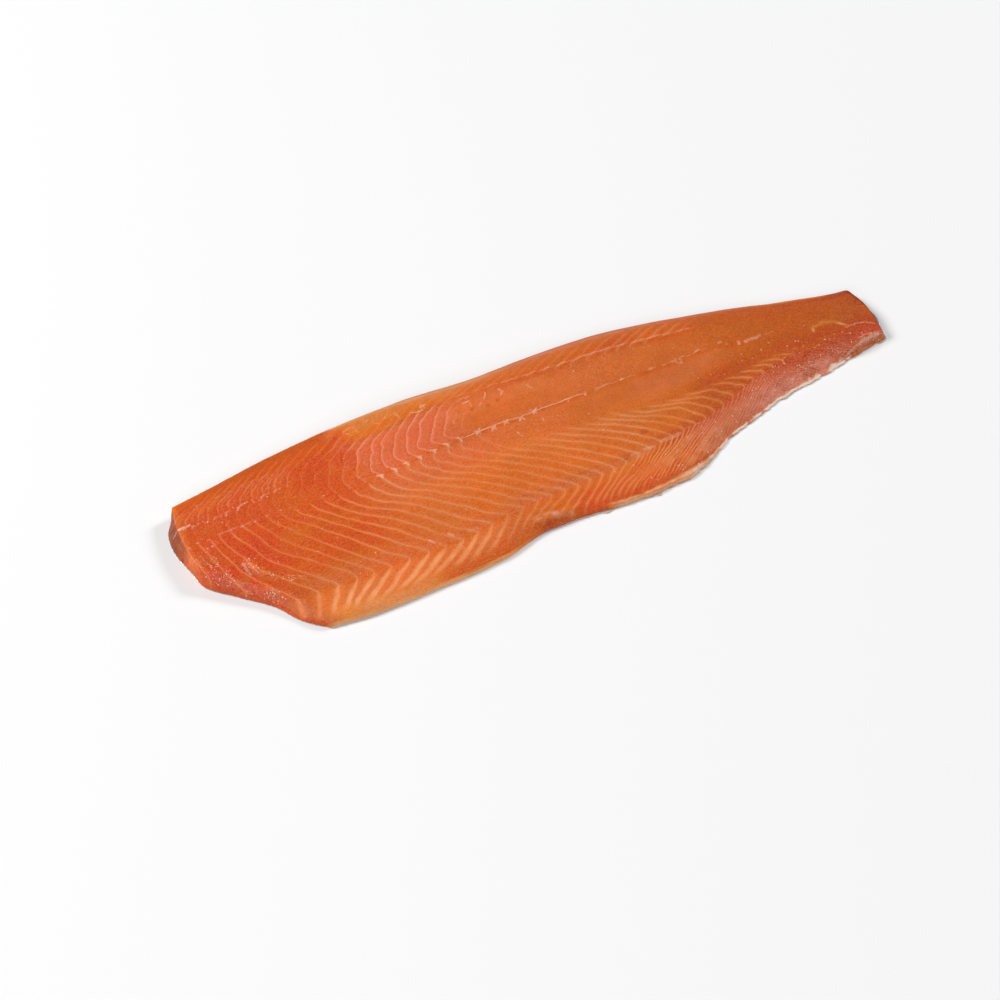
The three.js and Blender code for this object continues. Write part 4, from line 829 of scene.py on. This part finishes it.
foot_ring = TX.size + (RINGS - 1) * n_rim + np.arange(n_rim)
faces = [tuple(q) for q in Q] + [tuple(foot_ring[::-1])]
flesh = make_mesh("salmon_flesh", P, faces,
                  {"line_no": FF["k"], "per_mm": FF["per_mm"], "line_amp": line_amp, "line_wide": line_wide, "second": second, "halo": halo,
                   "seam_mm": FF["seam"], "dorsal_mm": FF["dorsal"], "seam_amp": seam_amp, "dorsal_amp": dorsal_amp,
                   "mark_mm": mark_mm, "mark_pale": mark_pale, "one_sided": one_sided, "fat": fat, "grit": grit,
                   "ripple_at": ripple_at, "ripple": ripple, "wet": wet, "glint": glint, "rim_pale": rim_pale},
                  {"tone": LIN, "line_tone": LINE_LIN})

# skin: thin shell under the flesh, with an uneven lip
lip = np.zeros(n_rim)
lip[on_belly] = smooth(0, 30, RX[on_belly]) * (0.3 + 1.6 * dentil(arc[on_belly], 7))
lip[on_tail] = 0.6 + 1.2 * dentil(arc[on_tail], 8)
lip[on_back] = -0.1
lip[on_head] = 0.1
lip = along_rim(lip, 1.6)
lip += 3.4 * np.exp(-(((RX - 5) / 5.5) ** 2)) * on_belly + 2.2 * np.exp(-(((RX - 45) / 1.8) ** 2)) * on_belly
SK = []
for z, o in ((SKIN_TOP + 0.1, -1.0), (SKIN_TOP + 0.05, 0.0), (SKIN_TOP * 0.7, 0.18), (0.15, 0.12), (0.0, -0.15)):
    SK.append(np.stack([FOOT[:, 0] + nrm[:, 0] * (lip + o), FOOT[:, 1] + nrm[:, 1] * (lip + o), np.full(n_rim, z)], 1))
SP = np.concatenate(SK)
SQ = []
for l in range(len(SK) - 1):
    a = l * n_rim + np.arange(n_rim)
    b = a + n_rim
    SQ += [tuple(q) for q in np.stack([a, b, np.roll(b, -1), np.roll(a, -1)], -1)]
SQ.append(tuple(np.arange(n_rim)))
SQ.append(tuple(((len(SK) - 1) * n_rim + np.arange(n_rim))[::-1]))
sw = height_share(np.clip(SP[:, 0], -265, 265), SP[:, 1])
skin = make_mesh("salmon_skin", SP, SQ, {"share": sw}, {})

for ob in (flesh, skin):
    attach(ob, "root")
    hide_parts("salmon_side")


# ------------------------------------------------------------------ materials
class Nodes:
    def __init__(self, name):
        self.mat = bpy.data.materials.new(name)
        self.mat.use_nodes = True
        self.t = self.mat.node_tree
        self.t.nodes.clear()
        self.out = self.t.nodes.new("ShaderNodeOutputMaterial")
        self.bsdf = self.t.nodes.new("ShaderNodeBsdfPrincipled")
        self.t.links.new(self.bsdf.outputs[0], self.out.inputs["Surface"])

    def link(self, a, b):
        self.t.links.new(a, b)

    def put(self, sock, v):
        if isinstance(v, (int, float)):
            sock.default_value = v
        elif isinstance(v, tuple):
            sock.default_value = v if len(v) == len(sock.default_value) else (*v, 1.0)
        else:
            self.link(v, sock)

    def attr(self, name, what="Fac"):
        n = self.t.nodes.new("ShaderNodeAttribute")
        n.attribute_name = name
        return n.outputs[what]

    def math(self, op, a, b=0.0, c=None, clamp=False):
        n = self.t.nodes.new("ShaderNodeMath")
        n.operation = op
        n.use_clamp = clamp
        self.put(n.inputs[0], a)
        self.put(n.inputs[1], b)
        if c is not None:
            self.put(n.inputs[2], c)
        return n.outputs[0]

    def ramp(self, v, a, b, lo=0.0, hi=1.0):
        n = self.t.nodes.new("ShaderNodeMapRange")
        n.interpolation_type = "SMOOTHSTEP"
        self.put(n.inputs["Value"], v)
        for key, q in (("From Min", a), ("From Max", b), ("To Min", lo), ("To Max", hi)):
            self.put(n.inputs[key], q)
        return n.outputs[0]

    def mix(self, fac, a, b, mode="MIX"):
        n = self.t.nodes.new("ShaderNodeMix")
        n.data_type = "RGBA"
        n.blend_type = mode
        self.put(n.inputs["Factor"], fac)
        self.put(n.inputs[6], a)
        self.put(n.inputs[7], b)
        return n.outputs[2]

    def coords(self, scale=(1, 1, 1)):
        if not hasattr(self, "_tc"):
            self._tc = self.t.nodes.new("ShaderNodeTexCoord").outputs["Object"]
        n = self.t.nodes.new("ShaderNodeMapping")
        self.link(self._tc, n.inputs["Vector"])
        n.inputs["Scale"].default_value = scale
        return n.outputs[0]

    def noise(self, scale, detail=2.0, rough=0.5, stretch=(1, 1, 1), distort=0.0):
        n = self.t.nodes.new("ShaderNodeTexNoise")
        self.link(self.coords(stretch), n.inputs["Vector"])
        n.inputs["Scale"].default_value = scale
        n.inputs["Detail"].default_value = detail
        n.inputs["Roughness"].default_value = rough
        n.inputs["Distortion"].default_value = distort
        return n.outputs["Fac"]

    def voronoi(self, scale, stretch=(1, 1, 1), feature="F1", rand=1.0):
        n = self.t.nodes.new("ShaderNodeTexVoronoi")
        n.feature = feature
        self.link(self.coords(stretch), n.inputs["Vector"])
        n.inputs["Scale"].default_value = scale
        n.inputs["Randomness"].default_value = rand
        return n

    def bump(self, height, strength, distance, normal=None):
        n = self.t.nodes.new("ShaderNodeBump")
        self.put(n.inputs["Height"], height)
        n.inputs["Strength"].default_value = strength
        n.inputs["Distance"].default_value = distance
        if normal is not None:
            self.link(normal, n.inputs["Normal"])
        return n.outputs[0]


def flesh_material():
    n = Nodes("smoked_flesh")
    tone, line_tone = n.attr("tone", "Color"), n.attr("line_tone", "Color")
    k, per_mm, amp, wide_ = n.attr("line_no"), n.attr("per_mm"), n.attr("line_amp"), n.attr("line_wide")
    grit = n.attr("grit")
    # distance from the nearest muscle line in mm, + towards the tail
    wobble = n.math("MULTIPLY", n.math("SUBTRACT", n.noise(420, 3, 0.6), 0.5), 0.9)
    k2 = n.math("ADD", k, n.math("MULTIPLY", wobble, per_mm))

    def off_line(number):
        fr = n.math("SUBTRACT", n.math("FRACT", n.math("ADD", number, 0.5)), 0.5)
        return n.math("DIVIDE", fr, per_mm)

    off = off_line(k2)
    dist = n.math("ABSOLUTE", off)
    patchy = n.ramp(n.noise(120, 4, 0.65), 0.32, 0.6, 0.5, 1.0)
    rel = n.math("DIVIDE", dist, wide_)
    core = n.math("MULTIPLY", n.math("MULTIPLY", n.ramp(rel, 0.35, 1.45, 1.0, 0.0), amp), patchy)
    half = n.math("ABSOLUTE", off_line(n.math("ADD", k2, 0.5)))
    line2 = n.math("MULTIPLY", n.math("MULTIPLY", n.ramp(half, 0.2, 0.9, 1.0, 0.0), n.attr("second")), patchy)
    line = n.math("MAXIMUM", core, line2)
    # soft paler flesh beside the line (on its tail side only where it is one-sided), deeper flesh in front of it,
    # partly painted shade where the flake in front dips under the line
    one = n.attr("one_sided")
    ahead = n.math("MULTIPLY", n.math("GREATER_THAN", 0.0, off), one)
    soft = n.math("MULTIPLY", n.math("MULTIPLY", n.ramp(rel, 0.9, 4.6, 1.0, 0.0), amp), n.math("SUBTRACT", n.attr("halo"), ahead), None, True)
    deep = n.math("MULTIPLY", n.math("MULTIPLY", n.ramp(rel, 1.0, 2.2, 0.0, 1.0), n.ramp(rel, 2.2, 7.0, 1.0, 0.0)), n.math("MULTIPLY", amp, ahead))
    seam, dorsal = n.attr("seam_mm"), n.attr("dorsal_mm")
    jig = n.math("MULTIPLY", n.math("SUBTRACT", n.noise(230, 3, 0.6), 0.5), 1.3)
    seam_j, dorsal_j = n.math("ADD", seam, jig), n.math("ADD", dorsal, jig)
    seam_line = n.math("MULTIPLY", n.ramp(n.math("ABSOLUTE", seam_j), 0.1, 0.6, 1.0, 0.0), n.attr("seam_amp"))
    dorsal_line = n.math("MULTIPLY", n.ramp(n.math("ABSOLUTE", dorsal_j), 0.1, 0.7, 1.0, 0.0), n.attr("dorsal_amp"))
    # spot: the palest marks, which are the painted glints of SPARKLES
    spot = n.ramp(n.attr("mark_pale"), 0.96, 0.995)
    ragged = n.math("MULTIPLY", n.math("SUBTRACT", n.noise(480, 4, 0.7), 0.5), n.math("MULTIPLY_ADD", spot, -1.8, 2.2))
    bits = n.math("MULTIPLY", n.math("MULTIPLY", n.ramp(n.math("ADD", n.attr("mark_mm"), ragged), -0.45, 0.6, 1.0, 0.0), n.attr("mark_pale")), n.ramp(n.noise(520, 3, 0.65), 0.36, 0.56, 0.5, 1.0))
    marks = n.math("MAXIMUM", n.math("MAXIMUM", seam_line, dorsal_line), n.math("MAXIMUM", bits, n.math("MULTIPLY", n.attr("fat"), n.ramp(n.noise(500, 3, 0.6), 0.3, 0.55, 0.55, 1.0))))
    # fine fibres and mottling
    grain = n.noise(760, 3, 0.7, (0.55, 1.5, 1))
    mottle = n.noise(150, 4, 0.55, (0.8, 1.4, 1))
    fleck = n.noise(260, 3, 0.6, (0.8, 1.3, 1))
    c = n.mix(n.ramp(mottle, 0.3, 0.75, 0.0, 0.4), tone, (0.95, 0.82, 0.66, 1), "MULTIPLY")
    c = n.mix(n.math("MULTIPLY", n.ramp(fleck, 0.6, 0.35, 0.0, 1.0), n.math("MULTIPLY_ADD", grit, 0.55, 0.12)), c, (0.90, 0.72, 0.50, 1), "MULTIPLY")
    c = n.mix(n.math("MULTIPLY", n.ramp(grain, 0.42, 0.72, 0.0, 1.0), n.math("MULTIPLY_ADD", grit, 0.28, 0.22)), c, line_tone)
    c = n.mix(n.math("MULTIPLY", n.ramp(grain, 0.52, 0.28, 0.0, 1.0), n.math("MULTIPLY_ADD", grit, 0.5, 0.52)), c, (0.82, 0.66, 0.50, 1), "MULTIPLY")
    finest = n.noise(1150, 3, 0.65)
    c = n.mix(n.math("MULTIPLY", n.ramp(finest, 0.56, 0.38, 0.0, 1.0), n.math("MULTIPLY_ADD", grit, 0.42, 0.55)), c, (0.80, 0.66, 0.50, 1), "MULTIPLY")
    c = n.mix(n.math("MULTIPLY", n.ramp(finest, 0.52, 0.68, 0.0, 1.0), n.math("MULTIPLY_ADD", grit, 0.34, 0.28)), c, line_tone)
    ripple = n.math("MULTIPLY", n.ramp(n.math("SINE", n.math("ADD", n.attr("ripple_at"), n.math("MULTIPLY", n.noise(300, 2, 0.5), 6.0))), -0.2, 0.9, 0.0, 1.0), n.attr("ripple"))
    c = n.mix(ripple, c, line_tone)
    rim = n.ramp(n.math("ADD", n.attr("rim_pale"), n.math("MULTIPLY", n.math("SUBTRACT", n.noise(420, 3, 0.65), 0.5), 0.9)), 0.36, 0.85, 0.0, 0.66)
    c = n.mix(rim, c, (0.90, 0.74, 0.63, 1))
    c = n.mix(deep, c, (0.94, 0.74, 0.60, 1), "MULTIPLY")
    c = n.mix(n.math("MULTIPLY", soft, 0.42), c, line_tone)
    c = n.mix(line, c, line_tone)
    c = n.mix(n.math("MULTIPLY", marks, n.math("MULTIPLY_ADD", spot, 0.2, 0.74)), c, n.mix(spot, (0.93, 0.52, 0.35, 1), (0.98, 0.80, 0.70, 1)))
    # painted glints: tiny pale dots laid into the colour, denser where the surface is grainy
    cells = n.voronoi(520, (1, 1, 1))
    chance = n.t.nodes.new("ShaderNodeSeparateColor")
    n.link(cells.outputs["Color"], chance.inputs[0])
    some = n.math("LESS_THAN", chance.outputs[0], n.ramp(grit, 0.35, 1.0, 0.006, 0.42))
    dot = n.math("MULTIPLY", n.ramp(cells.outputs["Distance"], 0.08, 0.26, 1.0, 0.0), some)
    c = n.mix(n.math("MULTIPLY", dot, n.math("MULTIPLY_ADD", chance.outputs[1], 0.7, 0.1)), c, (0.98, 0.78, 0.66, 1))
    sparks = n.voronoi(200)
    spare = n.t.nodes.new("ShaderNodeSeparateColor")
    n.link(sparks.outputs["Color"], spare.inputs[0])
    spark = n.math("MULTIPLY", n.ramp(sparks.outputs["Distance"], 0.04, 0.11, 1.0, 0.0), n.math("LESS_THAN", spare.outputs[0], n.ramp(grit, 0.2, 0.9, 0.015, 0.36)))
    c = n.mix(n.math("MULTIPLY", spark, n.math("MULTIPLY_ADD", spare.outputs[1], 0.6, 0.3)), c, (1.0, 0.80, 0.62, 1))
    # painted wet glints where the glint attribute asks for them
    glint_cells = n.voronoi(820)
    luck = n.t.nodes.new("ShaderNodeSeparateColor")
    n.link(glint_cells.outputs["Color"], luck.inputs[0])
    shine = n.math("MULTIPLY", n.ramp(glint_cells.outputs["Distance"], 0.16, 0.46, 1.0, 0.0), n.math("LESS_THAN", luck.outputs[0], n.math("MULTIPLY", n.attr("glint"), 0.55)))
    c = n.mix(n.math("MULTIPLY", shine, n.math("MULTIPLY_ADD", luck.outputs[1], 0.6, 0.3)), c, (1.0, 0.84, 0.74, 1))
    n.put(n.bsdf.inputs["Base Color"], c)
    wet = n.attr("wet")
    rough = n.math("SUBTRACT", n.ramp(mottle, 0.3, 0.7, 0.32, 0.46), n.math("MULTIPLY", grit, 0.06))
    n.put(n.bsdf.inputs["Roughness"], n.math("ADD", n.math("MULTIPLY", rough, wet), n.math("MULTIPLY", n.math("SUBTRACT", 1.0, wet), 0.75)))
    n.put(n.bsdf.inputs["Coat Weight"], n.math("MULTIPLY", wet, 0.30))
    n.bsdf.inputs["Specular IOR Level"].default_value = 0.45
    n.bsdf.inputs["Subsurface Weight"].default_value = 0.12
    n.bsdf.inputs["Subsurface Radius"].default_value = (1.0, 0.36, 0.18)
    n.bsdf.inputs["Subsurface Scale"].default_value = 0.002
    n.bsdf.inputs["Coat Roughness"].default_value = 0.14
    fine = n.math("MULTIPLY", n.noise(900, 3, 0.6), n.math("MULTIPLY_ADD", grit, 1.3, 0.35))
    b = n.bump(fine, 0.55, 0.0005)
    b = n.bump(n.noise(330, 3, 0.6, (0.8, 1.5, 1)), 0.25, 0.0006, b)
    b = n.bump(n.math("MULTIPLY", line, -1.0), 0.3, 0.0003, b)
    b = n.bump(marks, 0.4, 0.0004, b)
    n.link(b, n.bsdf.inputs["Normal"])
    n.link(b, n.bsdf.inputs["Coat Normal"])
    return n.mat


def skin_material():
    n = Nodes("smoked_skin")
    share = n.attr("share")
    v = n.voronoi(330, (1, 1.15, 1))
    edge = n.voronoi(330, (1, 1.15, 1), "DISTANCE_TO_EDGE")
    cell = n.ramp(v.outputs["Distance"], 0.0, 0.9, 0.0, 1.0)
    belly_c = n.mix(cell, (0.62, 0.58, 0.50, 1), (0.40, 0.35, 0.29, 1))
    back_c = n.mix(cell, (0.20, 0.17, 0.13, 1), (0.07, 0.06, 0.05, 1))
    up = n.ramp(n.math("ADD", share, n.math("MULTIPLY", n.math("SUBTRACT", n.noise(30, 3), 0.5), 0.9)), -0.2, 1.2)
    c = n.mix(up, belly_c, back_c)
    c = n.mix(n.ramp(edge.outputs["Distance"], 0.0, 0.12, 0.6, 0.0), c, (0.10, 0.08, 0.06, 1))
    c = n.mix(n.ramp(share, -1.93, -1.99, 0.0, 0.85), c, n.mix(n.noise(260, 3, 0.6), (0.60, 0.36, 0.24, 1), (0.86, 0.70, 0.58, 1)))
    n.put(n.bsdf.inputs["Base Color"], c)
    n.put(n.bsdf.inputs["Roughness"], n.ramp(cell, 0, 1, 0.28, 0.5))
    n.bsdf.inputs["Metallic"].default_value = 0.25
    n.bsdf.inputs["Coat Weight"].default_value = 0.3
    n.bsdf.inputs["Coat Roughness"].default_value = 0.2
    b = n.bump(n.math("MULTIPLY", v.outputs["Distance"], -1.0), 0.35, 0.0005)
    n.link(b, n.bsdf.inputs["Normal"])
    return n.mat


flesh.data.materials.append(flesh_material())
skin.data.materials.append(skin_material())

# ------------------------------------------------------------------ floor, light, camera
me = bpy.data.meshes.new("floor")
s = 6.0
me.from_pydata([(-s, -s, 0), (s, -s, 0), (s, s, 0), (-s, s, 0)], [], [(0, 1, 2, 3)])
floor = bpy.data.objects.new("floor", me)
bpy.context.scene.collection.objects.link(floor)
floor.location.z = -0.0002
m = Nodes("floor_white")
m.bsdf.inputs["Base Color"].default_value = (0.90, 0.90, 0.91, 1)
m.bsdf.inputs["Roughness"].default_value = 0.9
m.bsdf.inputs["Specular IOR Level"].default_value = 0.1
me.materials.append(m.mat)

world = bpy.data.worlds.new("studio")
bpy.context.scene.world = world
world.use_nodes = True
world.node_tree.nodes["Background"].inputs[0].default_value = (0.97, 0.98, 1.0, 1)
world.node_tree.nodes["Background"].inputs[1].default_value = 0.20


def lamp(name, where, size, watts, colour=(1, 1, 1)):
    d = bpy.data.lights.new(name, "AREA")
    d.shape = "DISK"
    d.size = size
    d.energy = watts
    d.color = colour
    o = bpy.data.objects.new(name, d)
    bpy.context.scene.collection.objects.link(o)
    o.location = where
    o.rotation_euler = (Vector((0, 0, 0)) - Vector(where)).to_track_quat("-Z", "Y").to_euler()
    return o


lamp("key", (-3.1, 1.9, 2.9), 1.8, 160, (1.0, 0.99, 0.97))
lamp("side", (3.7, 0.5, 2.5), 1.3, 70, (1.0, 1.0, 1.0)).visible_glossy = False
lamp("side_gloss", (3.7, 0.5, 2.5), 1.3, 17, (1.0, 1.0, 1.0))
lamp("fill", (-1.8, -2.6, 2.6), 2.4, 50, (0.98, 0.99, 1.0))

scene = bpy.context.scene
scene.view_settings.view_transform = "Standard"
cam = bpy.data.objects.new("camera", bpy.data.cameras.new("camera"))
scene.collection.objects.link(cam)
cam.data.sensor_width = 36
cam.data.lens = 60.70
cam.data.clip_end = 50
right = Vector((0.90178413, -0.43212269, 0.00744063))
up = Vector((0.33554383, 0.71087967, 0.61811038))
back = Vector((-0.27238891, -0.55490547, 0.78605610))
cam.matrix_world = Matrix.Translation(Vector((-0.3764 + ORIGIN[0] / 1000, -0.6747 + ORIGIN[1] / 1000, 0.9193))) @ Matrix((right, up, back)).transposed().to_4x4()
scene.camera = cam
